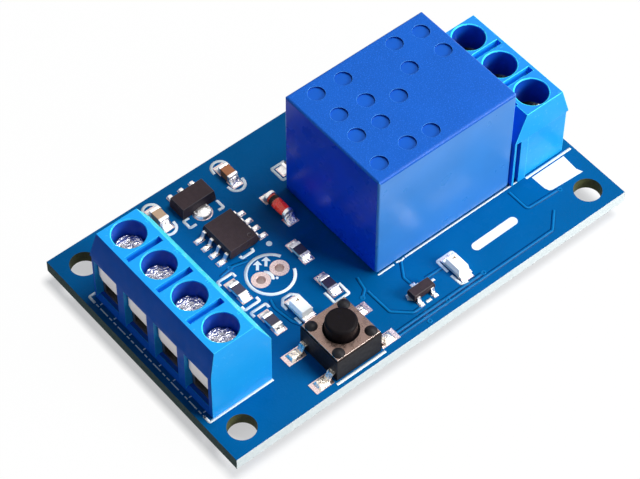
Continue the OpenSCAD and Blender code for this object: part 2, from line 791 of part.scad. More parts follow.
// Spring leaf: riveted to the armature, bent down behind the yoke, buttons at its free end
module relay_contact_leaf() {
  wide = leaf_w / 2;
  neck = leaf_neck_w / 2;
  root_x = -leaf_gap - contact_leaf_t;
  tip_x = arm_l + button_d / 2 + 0.3;
  color("#c98a4a") {
    at_armature() difference() {
      union() {
        translate([0, 0, iron_t]) linear_extrude(contact_leaf_t) polygon([
          [root_x, -wide], [armature_l - 1, -wide], [armature_l + 0.8, -neck], [tip_x, -neck],
          [tip_x, neck], [armature_l + 0.8, neck], [armature_l - 1, wide], [root_x, wide]
        ]);
        translate([arm_l, 0, iron_t - button_t])
          cylinder(d = button_d, h = 2 * button_t + contact_leaf_t);
      }
      for (x = rivet_x) translate([x, 0, 0]) cylinder(d = rivet_d, h = iron_t + 1);
    }
    at_relay() slab(contact_leaf_t, leaf_w, iron_t + contact_leaf_t + leaf_drop,
      [hinge_x + root_x + contact_leaf_t / 2, 0, hinge_z - leaf_drop - 0.02]);
  }
}

// Upright blade that turns in over the middle and carries a contact button
module fixed_contact(side, arm_bottom_z, button_z) {
  slab(blade_w, blade_t, arm_bottom_z + blade_t - base_top_z,
    [pin_x, side * pin_side_y, base_top_z]);
  slab(blade_w, pin_side_y + 1 + blade_t / 2, blade_t,
    [pin_x, side * (pin_side_y - 1 + blade_t / 2) / 2, arm_bottom_z]);
  slab(pin_x + blade_w / 2 - contact_x + 1, 2.4, blade_t,
    [(pin_x + blade_w / 2 + contact_x - 1) / 2, 0, arm_bottom_z]);
  translate([contact_x, 0, button_z]) cylinder(d = button_d, h = button_t);
  relay_pin([pin_x, side * pin_side_y], pin_w, blade_t, base_top_z);
}

module relay_open_contact() {
  color("#d0b36a") at_relay() fixed_contact(1, open_top_z - button_t - blade_t, open_top_z - button_t);
}

module relay_closed_contact() {
  color("#d0b36a") at_relay() fixed_contact(-1, closed_bottom_z + button_t, closed_bottom_z);
}

module relay_common_pin() {
  color("#c9ccd1") at_relay() relay_pin(common_pin_at, pin_t, pin_w, base_top_z);
}

module relay_coil_pins() {
  color("#c9ccd1") at_relay()
    for (p = coil_pin_at) relay_pin(p, coil_pin_w, coil_pin_w, bobbin_z + flange_t + 1.3);
}

// ---- push button ----

module at_switch() {
  translate([switch_at[0], switch_at[1], top]) children();
}

// Lead pair of one side, joined inside by a strip with a contact finger
module switch_lead_pair(finger_x) {
  half = switch_w / 2;
  strip_x = half - 0.6;
  spec = [half, switch_lead_reach, lead_t, lead_w, lead_z - pad_t, 1];
  for (s = [-1, 1]) translate([0, s * switch_lead_pitch / 2, pad_t]) {
    gull_lead(spec);
    translate([strip_x, -lead_w / 2, lead_z - pad_t]) cube([half - strip_x + eps, lead_w, lead_t]);
  }
  slab(0.5, switch_lead_pitch, lead_t, [strip_x, 0, lead_z]);
  translate([finger_x, -lead_w / 2, lead_z]) cube([strip_x - finger_x, lead_w, lead_t]);
  translate([finger_x, 0, lead_z]) cylinder(d = finger_d, h = lead_t + 0.1);
}

module switch_lead_pairs() {
  switch_lead_pair(1.5);
  rotate(180) switch_lead_pair(0);
}

module switch_leads() {
  color("#d3d4d6") at_switch() switch_lead_pairs();
}

module stakes(d, z, h) {
  for (sx = [-1, 1], sy = [-1, 1])
    translate([sx * stake_pitch / 2, sy * stake_pitch / 2, z]) cylinder(d = d, h = h);
}

// Domed head of a staked rivet
module stake_head() {
  r = (stake_d * stake_d / 4 + stake_rise * stake_rise) / (2 * stake_rise);
  intersection() {
    translate([0, 0, stake_rise - r]) sphere(r);
    cylinder(d = stake_d + 1, h = stake_rise + 1);
  }
}

module switch_body() {
  color("#17171a") at_switch() {
    difference() {
      slab(switch_w, switch_w, switch_body_h);
      translate([0, 0, well_z - well_sink]) cylinder(d = well_d, h = switch_body_h);
      switch_lead_pairs();
    }
    stakes(stake_shank_d, switch_body_h - eps, plate_t + 2 * eps);
    for (sx = [-1, 1], sy = [-1, 1])
      translate([sx * stake_pitch / 2, sy * stake_pitch / 2, switch_body_h + plate_t]) stake_head();
  }
}

module switch_plate() {
  color("#b9a48f") at_switch() difference() {
    slab(switch_w - 2 * plate_inset, switch_w - 2 * plate_inset, plate_t, [0, 0, switch_body_h]);
    translate([0, 0, switch_body_h - 1]) cylinder(d = plate_hole_d, h = plate_t + 2);
    stakes(stake_shank_d, switch_body_h - 1, plate_t + 2);
  }
}

module switch_plunger() {
  flange_z = nub_z + nub_h;
  chamfer_z = plunger_top_z - plunger_chamfer;
  color("#101012") at_switch() {
    translate([0, 0, nub_z]) cylinder(d = nub_d, h = nub_h + eps);
    translate([0, 0, flange_z])
      cylinder(d = well_d - 2 * flange_play, h = switch_body_h - 2 * eps - flange_z);
    translate([0, 0, flange_z]) cylinder(d = plunger_d, h = chamfer_z - flange_z);
    translate([0, 0, chamfer_z])
      cylinder(d1 = plunger_d, d2 = plunger_d - 2 * plunger_chamfer, h = plunger_chamfer);
  }
}

// Snap dome: a thin cap of a sphere standing on its rim
module switch_dome() {
  r = (dome_d * dome_d / 4 + dome_rise * dome_rise) / (2 * dome_rise);
  color("#cfcfcf") at_switch() translate([0, 0, well_z]) intersection() {
    translate([0, 0, dome_rise + dome_t - r - dome_t]) difference() {
      sphere(r + dome_t);
      sphere(r);
    }
    cylinder(d = dome_d, h = dome_rise + 1);
  }
}

// ---- packages ----

module at_place(p) {
  translate([p[0], p[1], top + pad_t]) children();
}

module controller_body() {
  color("#2a2322") at_place(controller_at) difference() {
    moulded_body(2 * soic[0], soic_body, soic[4], soic[2]);
    translate([soic[0] - 1.5 * key_dot_d, -soic_body[0] / 2 + 1.3 * key_dot_d,
      soic_body[2] - key_dot_depth]) cylinder(d = key_dot_d, h = 1);
  }
}

module controller_leads() {
  color("#d3d4d6") at_place(controller_at)
    for (a = [0, 180], y = soic_rows) rotate(a) translate([0, y, 0]) gull_lead(soic);
}

module regulator_body() {
  color("#2a2322") at_place(regulator_at)
    difference() {
      rotate(90) moulded_body(2 * sot89[0], sot89_body, 0, sot89[2] + 0.05);
      slab(tab_w, 2 * (sot89[0] + tab_reach), sot89[2], [0, 0, -eps]);
    }
}

// Three leads on one side, the heat tab through the body to the other
module regulator_leads() {
  color("#d3d4d6") at_place(regulator_at) {
    for (s = [-1, 1]) rotate(90) translate([0, s * sot89_pitch, 0]) flat_lead(sot89);
    translate([-sot89[3] / 2, 0, 0]) cube([sot89[3], sot89[1], sot89[2] - eps]);
    slab(tab_w, 2 * sot89[0], sot89[2] - eps);
    translate([0, -sot89[0], 0]) {
      translate([-tab_w / 2, -tab_reach, 0]) cube([tab_w, tab_reach + eps, sot89[2] - eps]);
      translate([0, -tab_reach, 0]) cylinder(d = tab_w, h = sot89[2] - eps);
    }
  }
}

module transistor_body() {
  color("#2a2322") at_place(transistor_at)
    rotate(90) moulded_body(2 * sot23[0], sot23_body, sot23[4], sot23[2]);
}

module transistor_leads() {
  color("#d3d4d6") at_place(transistor_at) {
    for (x = [-0.95, 0.95]) rotate(-90) translate([0, x, 0]) gull_lead(sot23);
    rotate(90) gull_lead(sot23);
  }
}

// ---- glass diode, lying along Y ----

module at_diode() {
  translate([diode_at[0], diode_at[1], top + pad_t + diode_d / 2]) rotate([90, 0, 0]) children();
}

module diode_glass() {
  color("#c8321c") at_diode()
    cylinder(d = diode_d - 0.1, h = diode_l - 2 * diode_cap_l, center = true);
}

module diode_caps() {
  color("#d3d4d6") at_diode() for (s = [-1, 1])
    translate([0, 0, s * (diode_l - diode_cap_l) / 2]) cylinder(d = diode_d, h = diode_cap_l, center = true);
}

// ---- chips ----

module at_chip(p) {
  translate([p[0], p[1], top]) rotate(len(p) > 2 ? p[2] : 0) children();
}

module capacitor_1() {
  color("#b98d5c") at_chip(capacitor_1_at) chip_body(capacitor_h);
}

module capacitor_1_ends() {
  color("#d3d4d6") at_chip(capacitor_1_at) chip_ends(capacitor_h);
}

module capacitor_2() {
  color("#a8552a") at_chip(capacitor_2_at) chip_body(capacitor_h);
}

module capacitor_2_ends() {
  color("#d3d4d6") at_chip(capacitor_2_at) chip_ends(capacitor_h);
}

module chip_resistor(p) {
  color("#26242a") at_chip(p) chip_body(resistor_h);
}

module resistor_ends() {
  color("#d3d4d6") for (p = resistor_at) at_chip(p) chip_ends(resistor_h);
}

// Indicator lamp: moulded lens on a thin carrier
module indicator(p) {
  color("#efe9d2") at_chip(p) {
    chip_body(0.45, indicator_l, indicator_w, indicator_end);
    translate([0, 0, pad_t + 0.4])
      moulded_body(indicator_w - 0.1, lens_body, 0, 0.05);
  }
}

module indicator_ends() {
  color("#d3d4d6") for (p = [indicator_1_at, indicator_2_at])
    at_chip(p) chip_ends(0.4, indicator_l, indicator_w, indicator_end);
}

circuit_board();
copper_pads();
solder_joints();
in_housing();
in_clamps();
in_guard(1);  // in_guard_1
in_guard(2);  // in_guard_2
in_guard(3);  // in_guard_3
in_guard(4);  // in_guard_4
in_screw(1);  // in_screw_1
in_screw(2);  // in_screw_2
in_screw(3);  // in_screw_3
in_screw(4);  // in_screw_4
out_housing();
out_clamps();
out_guard(1);  // out_guard_1
out_guard(2);  // out_guard_2
out_guard(3);  // out_guard_3
out_screw(1);  // out_screw_1
out_screw(2);  // out_screw_2
out_screw(3);  // out_screw_3
relay_cover();
relay_base();
relay_bobbin();
relay_winding();
relay_core();
relay_yoke();
relay_armature();
relay_contact_leaf();
relay_open_contact();
relay_closed_contact();
relay_common_pin();
relay_coil_pins();
switch_body();
switch_plate();
switch_plunger();
switch_dome();
switch_leads();
controller_body();
controller_leads();
regulator_body();
regulator_leads();
transistor_body();
transistor_leads();
diode_glass();
diode_caps();
capacitor_1();
capacitor_1_ends();
capacitor_2();
capacitor_2_ends();
chip_resistor(resistor_at[0]);  // resistor_1
chip_resistor(resistor_at[1]);  // resistor_2
chip_resistor(resistor_at[2]);  // resistor_3
chip_resistor(resistor_at[3]);  // resistor_4
chip_resistor(resistor_at[4]);  // resistor_5
resistor_ends();
indicator(indicator_1_at);  // indicator_1
indicator(indicator_2_at);  // indicator_2
indicator_ends();
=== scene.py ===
# %% [markdown]
# # A latching relay board, dressed in Blender
# The construction arrives as a fixed frame: every piece at its real size and place.
# Here each piece gets its finish, moulded pieces get their soft edges, and the thin things
# that only live on the surface are added: ink, tracks, solder and the sheen of the plating.
# All lengths are in metres; places are read from the frame, so nothing is fitted by eye.

# %% Load the frame
import math

import bmesh
import bpy
from mathutils import Matrix, Vector


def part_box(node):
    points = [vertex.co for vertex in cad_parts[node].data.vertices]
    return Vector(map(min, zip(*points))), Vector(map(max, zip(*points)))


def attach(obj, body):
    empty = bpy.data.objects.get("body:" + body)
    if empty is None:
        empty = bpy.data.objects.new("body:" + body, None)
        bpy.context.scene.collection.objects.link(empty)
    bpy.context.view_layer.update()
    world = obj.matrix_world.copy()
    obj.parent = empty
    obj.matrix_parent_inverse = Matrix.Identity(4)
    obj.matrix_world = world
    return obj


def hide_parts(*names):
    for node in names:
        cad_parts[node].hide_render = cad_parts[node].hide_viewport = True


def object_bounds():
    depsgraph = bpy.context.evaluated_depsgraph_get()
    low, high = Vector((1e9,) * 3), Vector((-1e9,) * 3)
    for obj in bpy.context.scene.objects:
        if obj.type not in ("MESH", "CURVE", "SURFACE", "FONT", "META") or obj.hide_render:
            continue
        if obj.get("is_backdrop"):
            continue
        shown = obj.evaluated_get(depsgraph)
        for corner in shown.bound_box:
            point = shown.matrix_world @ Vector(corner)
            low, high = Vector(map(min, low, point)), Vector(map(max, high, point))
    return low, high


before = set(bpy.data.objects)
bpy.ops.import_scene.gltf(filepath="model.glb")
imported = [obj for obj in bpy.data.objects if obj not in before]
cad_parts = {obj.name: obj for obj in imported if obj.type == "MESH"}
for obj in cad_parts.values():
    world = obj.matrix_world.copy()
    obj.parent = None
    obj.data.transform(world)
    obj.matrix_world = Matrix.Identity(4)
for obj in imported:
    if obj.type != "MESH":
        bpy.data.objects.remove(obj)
cad_low, cad_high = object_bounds()
MM = 0.001


def corners(node):
    """A node's lowest and highest corner."""
    return [Vector(corner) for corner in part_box(node)]


def centre_of(node):
    low, high = corners(node)
    return (low + high) / 2


def placed(name, data):
    """A new object in the scene, at the origin."""
    thing = bpy.data.objects.new(name, data)
    bpy.context.scene.collection.objects.link(thing)
    return thing


board_low, board_high = corners("circuit_board")
TOP = board_high.z
print("board", [round(v / MM, 2) for v in board_high - board_low], "mm, top at", TOP)

# %% [markdown]
# ## The camera
# A long lens from a little way off keeps the board's edges nearly parallel.
# The camera stands on the input terminal's side and looks down at about 53 degrees.
# Its three axes are built as the columns of one matrix, which avoids Euler angles.

# %% Camera
AIM = Vector((-2.71 * MM, -0.06 * MM, TOP))
SENSOR_WIDTH = 36
NEAREST = 0.01


def place_camera(azimuth, elevation, roll, distance, lens):
    """A camera that looks at AIM from an azimuth and elevation in degrees."""
    turn, lift, tilt = (math.radians(a) for a in (azimuth, elevation, roll))
    back = Vector((math.sin(turn) * math.cos(lift), -math.cos(turn) * math.cos(lift),
                   math.sin(lift)))
    right = Vector((0, 0, 1)).cross(back).normalized()
    up = back.cross(right)
    rolled_right = right * math.cos(tilt) + up * math.sin(tilt)
    rolled_up = back.cross(rolled_right)
    camera = placed("camera", bpy.data.cameras.new("camera"))
    camera.data.lens = lens
    camera.data.sensor_width = SENSOR_WIDTH
    camera.data.clip_start = NEAREST
    pose = Matrix((rolled_right, rolled_up, back)).transposed().to_4x4()
    pose.translation = AIM + back * distance
    camera.matrix_world = pose
    bpy.context.scene.camera = camera
    return camera


camera = place_camera(azimuth=-40.08, elevation=52.69, roll=0.4, distance=0.27717, lens=144.6)
bpy.context.scene.view_settings.view_transform = "Standard"
print("camera at", [round(v, 3) for v in camera.matrix_world.translation])

# %% [markdown]
# ## The studio
# A product table: a white sheet below, a soft lamp low on the button's side, a stronger one
# far above the output side, and a pale blue room for the shadows. The world and the
# sheet turn white only for rays that come from the camera, off gloss or through glass, so
# the background is bright without putting more light on the board. The sheet keeps the
# board's shadow at the board's own edge.

# %% World, floor and lamps
WHITE = (1, 1, 1, 1)
ROOM_BLUE = (0.66, 0.82, 1, 1)


def put(tree, entry, value):
    """Gives a node's input a value, or joins a socket to it."""
    if isinstance(value, bpy.types.NodeSocket):
        tree.links.new(value, entry)
    else:
        entry.default_value = value


def add(tree, kind, *values, operation=None):
    """Adds a node, and sets or joins its inputs in their order."""
    node = tree.nodes.new("ShaderNode" + kind)
    if operation:
        node.operation = operation
    for entry, value in zip(node.inputs, values):
        put(tree, entry, value)
    return node


def mix_colours(tree, factor, first, second):
    """Mixes two colours, each a value or a socket."""
    mix = tree.nodes.new("ShaderNodeMix")
    mix.data_type = "RGBA"
    put(tree, mix.inputs[0], factor)
    for slot, colour in ((6, first), (7, second)):
        is_socket = isinstance(colour, bpy.types.NodeSocket)
        put(tree, mix.inputs[slot], colour if is_socket else (*colour[:3], 1))
    return mix.outputs[2]


def stretch(tree, value, low, high, from_low=0.3, from_high=0.7):
    """Turns the span from_low to from_high into low to high. A noise spans about 0.3 to 0.7."""
    return add(tree, "MapRange", value, from_low, from_high, low, high).outputs["Result"]


def seen_directly(tree):
    """A value of 1 for rays from the camera, off gloss or through glass, and 0 for the rest."""
    path = add(tree, "LightPath")
    total = path.outputs["Is Camera Ray"]
    for ray in ("Is Glossy Ray", "Is Transmission Ray"):
        total = add(tree, "Math", total, path.outputs[ray], operation="MAXIMUM").outputs[0]
    return total


def make_world(ambient):
    world = bpy.data.worlds.new("studio")
    bpy.context.scene.world = world
    world.use_nodes = True
    tree = world.node_tree
    room = tree.nodes["Background"]
    room.inputs["Color"].default_value = ROOM_BLUE
    room.inputs["Strength"].default_value = ambient
    backdrop = add(tree, "Background", WHITE)
    shown = add(tree, "MixShader", seen_directly(tree), room.outputs[0], backdrop.outputs[0])
    put(tree, tree.nodes["World Output"].inputs["Surface"], shown.outputs[0])


GAP_BELOW = 0.1 * MM
PAPER = (0.9, 0.9, 0.9)
PAPER_ROUGHNESS = 0.8
NEARLY_WHITE = 0.985


def make_floor(size, lift, reach, bounce):
    """A white sheet. Its own white grows from lift, under the board, to nearly full at reach.

    The light that it throws back onto the object is only that of a sheet as grey as bounce,
    and from below it is clear, so that the underside can be looked at."""
    sheet = bpy.data.meshes.new("table")
    z = cad_low.z - GAP_BELOW
    square = [(-size, -size, z), (size, -size, z), (size, size, z), (-size, size, z)]
    sheet.from_pydata(square, [], [(0, 1, 2, 3)])
    table = placed("table", sheet)
    paper = bpy.data.materials.new("table_white")
    paper.use_nodes = True
    tree = paper.node_tree
    paint = tree.nodes["Principled BSDF"]
    seen = seen_directly(tree)
    put(tree, paint.inputs["Base Color"], mix_colours(tree, seen, (bounce,) * 3, PAPER))
    put(tree, paint.inputs["Roughness"], PAPER_ROUGHNESS)
    place = add(tree, "TexCoord").outputs["Object"]
    sides = add(tree, "VectorMath", place, operation="ABSOLUTE").outputs[0]
    edge = (cad_high.x, cad_high.y, 1)
    beyond = add(tree, "VectorMath", sides, edge, operation="SUBTRACT").outputs[0]
    outside = add(tree, "VectorMath", beyond, (0, 0, 0), operation="MAXIMUM").outputs[0]
    away = add(tree, "VectorMath", outside, operation="LENGTH").outputs["Value"]
    grown = stretch(tree, away, lift, NEARLY_WHITE, 0, reach)
    share = add(tree, "Math", seen, grown, operation="MULTIPLY").outputs[0]
    glow = add(tree, "Emission", WHITE)
    above = add(tree, "MixShader", share, paint.outputs[0], glow.outputs[0])
    below = add(tree, "NewGeometry").outputs["Backfacing"]
    clear = add(tree, "BsdfTransparent")
    shown = add(tree, "MixShader", below, above.outputs[0], clear.outputs[0])
    put(tree, tree.nodes["Material Output"].inputs["Surface"], shown.outputs[0])
    sheet.materials.append(paper)
    table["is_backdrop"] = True


def make_lamp(name, place, size, watts, colour=(1, 1, 1)):
    """A square soft box at a place, turned towards the board."""
    data = bpy.data.lights.new(name, "AREA")
    data.size = size
    data.energy = watts
    data.color = colour
    lamp = placed(name, data)
    lamp.location = place
    lamp.rotation_euler = Vector(place).to_track_quat("Z", "Y").to_euler()


make_world(ambient=0.16)
make_floor(size=2.0, lift=0.5, reach=0.001, bounce=0.2)
make_lamp("key", (0.16, -0.23, 0.145), 0.12, 0.92)
make_lamp("overhead", (0.36, -0.08, 0.78), 0.35, 4.7)

# %% [markdown]
# ## One recipe for every finish
# Real plastic and metal are never one flat colour. Each finish is a Principled shader whose
# colour wanders a little, whose roughness has smudges, and whose surface has a fine grain.
# Some plastics carry specks of dust as well. Every noise reads Object coordinates, so it
# stays put when a piece moves.

# %% The recipe
made_finishes = {}
METAL_GLOSS, PLASTIC_GLOSS = 0.5, 0.16
SPECK_EDGE = 0.06
SMEAR_SHARE = 0.4


def noise_in(tree, place, size, detail=3.0):
    """A noise whose features are about `size` millimetres across."""
    noise = add(tree, "TexNoise", place)
    noise.inputs["Scale"].default_value = 1 / (size * MM)
    noise.inputs["Detail"].default_value = detail
    return noise.outputs["Fac"]


def shade(colour, factor):
    return tuple(min(1.0, c * factor) for c in colour[:3])


def finish(name, colour, rough, metal=0.0, mottle=0.12, cloud=2.0, smudge=0.08, grain=0.15,
           grain_size=0.06, dust=None, dust_size=0.2, dust_share=0.66, gloss=None, **sockets):
    """A finish. Cloud, grain and dust sizes are in millimetres; extra words set shader sockets.

    Dust is the colour of small specks, which lie where a fine noise is above dust_share."""
    material = bpy.data.materials.new(name)
    material.use_nodes = True
    tree = material.node_tree
    place = add(tree, "TexCoord").outputs["Object"]
    tint = mix_colours(tree, noise_in(tree, place, cloud), shade(colour, 1 - mottle),
                       shade(colour, 1 + mottle))
    if dust:
        specks = stretch(tree, noise_in(tree, place, dust_size, 4), 0, 1, dust_share,
                         dust_share + SPECK_EDGE)
        tint = mix_colours(tree, specks, tint, dust)
    smears = noise_in(tree, place, cloud * SMEAR_SHARE, 5)
    bump = add(tree, "Bump", grain, grain_size * MM / 2)
    put(tree, bump.inputs["Height"], noise_in(tree, place, grain_size, 2))
    if gloss is None:
        gloss = METAL_GLOSS if metal else PLASTIC_GLOSS
    roughness = stretch(tree, smears, rough - smudge, rough + smudge)
    settings = {"Base Color": tint, "Roughness": roughness, "Normal": bump.outputs["Normal"],
                "Metallic": metal, "Specular IOR Level": gloss}
    shader = tree.nodes["Principled BSDF"]
    for word, value in (settings | sockets).items():
        put(tree, shader.inputs[word.replace("_", " ")], value)
    made_finishes[name] = material
    return material


# %% [markdown]
# ## The finishes
# Moulded plastics share one character and differ in colour; the metals differ in how the
# plating scatters light. Solder is smooth but lumpy, zinc on the input screws is crisp and cool.
# The output screws' nearly black zinc and the dark steel of the clamp cages are painted shade.
# Settings that several finishes share are kept in one dictionary.

# %% Plastics
nylon = {"mottle": 0.09, "cloud": 3, "grain": 0.12, "grain_size": 0.09, "dust_size": 0.35,
         "dust_share": 0.64, "gloss": 0.2}
azure = finish("azure_nylon", (0.012, 0.4, 1.0), 0.38, dust=(0.06, 0.48, 1.0), **nylon)
# Partly rubbed wear, partly painted highlight: a lighter azure for the rounds, the chamfers that
# face the lamps and the output housing's lip.
azure_wear_and_highlight = finish("azure_worn_edge", (0.06, 0.82, 0.99), 0.34, mottle=0.1, cloud=0.8)
azure_shade = finish("azure_shade", (0.006, 0.16, 0.85), 0.45, cloud=3, gloss=0.05)
# Painted shade: a darker azure inside the driver wells.
azure_well = finish("azure_well", (0.005, 0.09, 0.55), 0.45, cloud=1.5)
# Painted shade: nearly black for the output housing's hollows behind the wire guards.
azure_deep = finish("azure_deep", (0.012, 0.018, 0.035), 0.6, mottle=0.4, cloud=0.6, gloss=0.02)
# Painted shade: a darker azure for the output housing's top.
azure_top = finish("azure_top", (0.014, 0.28, 0.8), 0.4, dust=(0.06, 0.4, 0.95), **nylon)
case_blue = finish("relay_case_blue", (0.006, 0.113, 0.55), 0.36, cloud=4, smudge=0.06, grain=0.3,
                   grain_size=0.14, dust=(0.016, 0.15, 0.7), dust_size=0.14, dust_share=0.56)
case_dimple = finish("relay_case_dimple", (0.006, 0.11, 0.56), 0.4)
# Painted shade on the dimples' walls.
dimple_wall_shade = finish("relay_dimple_wall", (0.003, 0.05, 0.34), 0.45)
# Painted highlight on the case's rounded edges.
case_edge_highlight = finish("relay_case_edge", (0.09, 0.38, 0.88), 0.3, mottle=0.15, cloud=0.8)
# Painted sheen: the case's sides are a lighter blue than its top.
case_side_sheen = finish("relay_case_side", (0.05, 0.265, 0.73), 0.3, mottle=0.14, cloud=7, smudge=0.03,
                   grain=0.06, gloss=0.7)
case_shade = finish("relay_case_shade", (0.001, 0.07, 0.74), 0.3, mottle=0.2, cloud=6, grain=0.06,
                    gloss=0.15)
base_blue = finish("relay_base_blue", (0.01, 0.045, 0.2), 0.5)
button_black = finish("button_black", (0.008, 0.006, 0.007), 0.4, mottle=0.3, cloud=0.7, grain=0.5,
                      grain_size=0.12, gloss=0.06)
body_black = finish("switch_body_black", (0.014, 0.013, 0.015), 0.5, mottle=0.2, cloud=1)
epoxy = finish("moulded_epoxy", (0.042, 0.026, 0.03), 0.52, mottle=0.3, cloud=0.6, grain=0.5,
               grain_size=0.05)
epoxy_edge = finish("moulded_epoxy_edge", (0.085, 0.07, 0.072), 0.45, mottle=0.3, cloud=0.4)
bobbin_white = finish("bobbin_white", (0.8, 0.78, 0.7), 0.5)
print("plastics ready:", len(made_finishes))

# %% Metals
tin = finish("bright_tin", (0.86, 0.84, 0.82), 0.34, 1.0, cloud=0.3, grain=0.5, grain_size=0.2)
solder = finish("bright_solder", (0.9, 0.87, 0.85), 0.3, 1.0, cloud=0.4, grain=0.7,
                grain_size=0.35)
pad_tin = finish("tinned_copper", (0.76, 0.6, 0.58), 0.3, 1.0, mottle=0.08, cloud=0.5, grain=0.3,
                 grain_size=0.12)
warm_tin = finish("warm_tin", (0.86, 0.74, 0.64), 0.3, 1.0, mottle=0.25, cloud=0.4, grain=0.7,
                  grain_size=0.3)
zinc = finish("bright_zinc", (0.94, 0.93, 1.0), 0.24, 0.9, mottle=0.25, cloud=0.3, grain=1.0,
              grain_size=0.3)
# Painted shade: the output screws, deep in their wells, are drawn in a nearly black zinc.
dull_zinc = finish("dull_zinc", (0.03, 0.02, 0.016), 0.4, mottle=0.4, cloud=0.3, grain=0.8,
                   grain_size=0.3)
guard_metal = finish("guard_strip", (0.8, 0.77, 0.77), 0.42, 0.7, mottle=0.06, cloud=1.5)
# Painted shade: the clamp cages inside the wire entries are a dark steel.
cage_steel_shaded = finish("cage_steel", (0.2, 0.19, 0.18), 0.4, 1.0)
nickel = finish("warm_nickel", (0.27, 0.185, 0.155), 0.3, 1.0, mottle=0.07, cloud=1.2, grain=0.25,
                grain_size=0.1)
# Painted highlight on the switch plate's rounded edges.
nickel_edge_highlight = finish("warm_nickel_edge", (0.6, 0.5, 0.45), 0.25, 1.0)
spring_steel = finish("spring_steel", (0.75, 0.75, 0.75), 0.25, 1.0)
soft_iron = finish("plated_iron", (0.56, 0.56, 0.57), 0.36, 1.0)
bronze = finish("spring_bronze", (0.78, 0.56, 0.3), 0.28, 1.0)
copper_wire = finish("enamelled_wire", (0.5, 0.16, 0.06), 0.3, 0.6)
print("finishes so far:", len(made_finishes))

# %% Board, ceramics, glass and ink
mask = finish("solder_mask", (0.0, 0.11, 0.32), 0.26, mottle=0.16, cloud=6, smudge=0.06,
              grain=0.12, grain_size=0.25, gloss=0.05)
mask_track = finish("mask_over_track", (0.003, 0.17, 0.43), 0.24, mottle=0.1, cloud=3, gloss=0.05)
mask_groove = finish("mask_in_groove", (0.0, 0.055, 0.19), 0.3, mottle=0.1, cloud=3, gloss=0.05)
sawn = {"grain": 0.8, "grain_size": 0.12}
# Painted light: a dark copy of the laminate for the shaded sides and a pale one for the lit sides.
laminate = finish("laminate_edge", (0.05, 0.09, 0.085), 0.75, mottle=0.3, cloud=0.5, **sawn)
laminate_lit = finish("laminate_edge_lit", (0.84, 0.94, 0.95), 0.75, cloud=0.5, **sawn)
hole_wall = finish("hole_wall", (0.075, 0.085, 0.03), 0.6, mottle=0.4, cloud=0.4, **sawn)
legend_ink = finish("legend_ink", (0.9, 0.96, 0.98), 0.5, mottle=0.06, cloud=0.6, grain=0.4,
                    grain_size=0.1)
tan_ceramic = finish("tan_ceramic", (0.62, 0.42, 0.27), 0.48, mottle=0.1, cloud=0.3)
brown_ceramic = finish("brown_ceramic", (0.52, 0.2, 0.09), 0.45, mottle=0.1, cloud=0.3)
glaze = finish("resistor_glaze", (0.035, 0.028, 0.06), 0.2, mottle=0.2, cloud=0.3, gloss=0.6)
# Painted glow: the indicator lenses give a little light of their own, though they are not lit.
lens = finish("lamp_lens", (1.0, 1.0, 0.95), 0.25, mottle=0.03, cloud=0.6, gloss=0.5,
              Emission_Color=(1, 0.97, 0.9, 1), Emission_Strength=0.22)
print("finishes in all:", len(made_finishes))

# %% [markdown]
# ## Soft edges
# A moulded edge is never sharp: it has a small round that catches the light. The frame's
# meshes are exact but made of loose triangles, so a copy is welded, its flat faces are
# joined, and a narrow bevel is cut along every edge that turns more than 30 degrees.
# The round can carry its own, slightly lighter finish: a painted highlight on the relay's case
# and the switch plate, partly rubbed wear and partly a painted highlight on the terminals.

# %% Helpers for pieces that take a node's place
SHARP = math.radians(30)
FLAT = math.radians(0.5)
SAME_PLACE = 0.5e-6


def mesh_from(shape, name, *materials):
    """Turns a bmesh into a mesh with these materials, and frees it."""
    mesh = bpy.data.meshes.new(name)
    shape.to_mesh(mesh)
    shape.free()
    for material in materials:
        mesh.materials.append(material)
    return mesh


def merged_mesh(node, name, materials):
    """A welded copy of a node's mesh whose flat faces are whole."""
    shape = bmesh.new()
    shape.from_mesh(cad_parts[node].data)
    bmesh.ops.remove_doubles(shape, verts=shape.verts, dist=SAME_PLACE)
    bmesh.ops.dissolve_limit(shape, angle_limit=FLAT, verts=shape.verts, edges=shape.edges)
    mesh = mesh_from(shape, name, *materials)
    if "custom_normal" in mesh.attributes:
        mesh.attributes.remove(mesh.attributes["custom_normal"])
    mesh.shade_smooth()
    mesh.set_sharp_from_angle(angle=SHARP)
    return mesh


def apply_modifiers(piece):
    """Turns a piece with its modifiers into plain mesh."""
    bpy.context.view_layer.update()
    live = piece.evaluated_get(bpy.context.evaluated_depsgraph_get())
    result = bpy.data.meshes.new_from_object(live)
    piece.modifiers.clear()
    piece.data = result


def settle(piece, body, replaced=None):
    """Hides the node that a piece replaces and hangs the piece on the body it rides on."""
    if replaced:
        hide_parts(replaced)
    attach(piece, body)
    return piece


def soften(node, body, materials, width, segments=2):
    """Puts a bevelled copy in a node's place; a second material goes on the rounds."""
    name = node + "_moulded"
    piece = placed(name, merged_mesh(node, name, materials))
    round_off = piece.modifiers.new("round", "BEVEL")
    round_off.width = width * MM
    round_off.segments = segments
    round_off.limit_method = "ANGLE"
    round_off.angle_limit = SHARP
    round_off.use_clamp_overlap = True
    round_off.harden_normals = True
    if len(materials) > 1:
        round_off.material = 1
    apply_modifiers(piece)
    return settle(piece, body, node)


def dress(node, material):
    """Gives a carried-over node its finish."""
    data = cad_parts[node].data
    data.materials.clear()
    data.materials.append(material)


def repaint(piece, slot, rule):
    """Gives another of a piece's materials to each face for which the rule holds."""
    chosen = [face for face in piece.data.polygons if rule(face.center, face.normal)]
    for face in chosen:
        face.material_index = slot
    return len(chosen)


def within(place, low, high, wall):
    """True for a place that is further than a wall inside a box's four sides."""
    return (low.x + wall < place.x < high.x - wall) and (low.y + wall < place.y < high.y - wall)
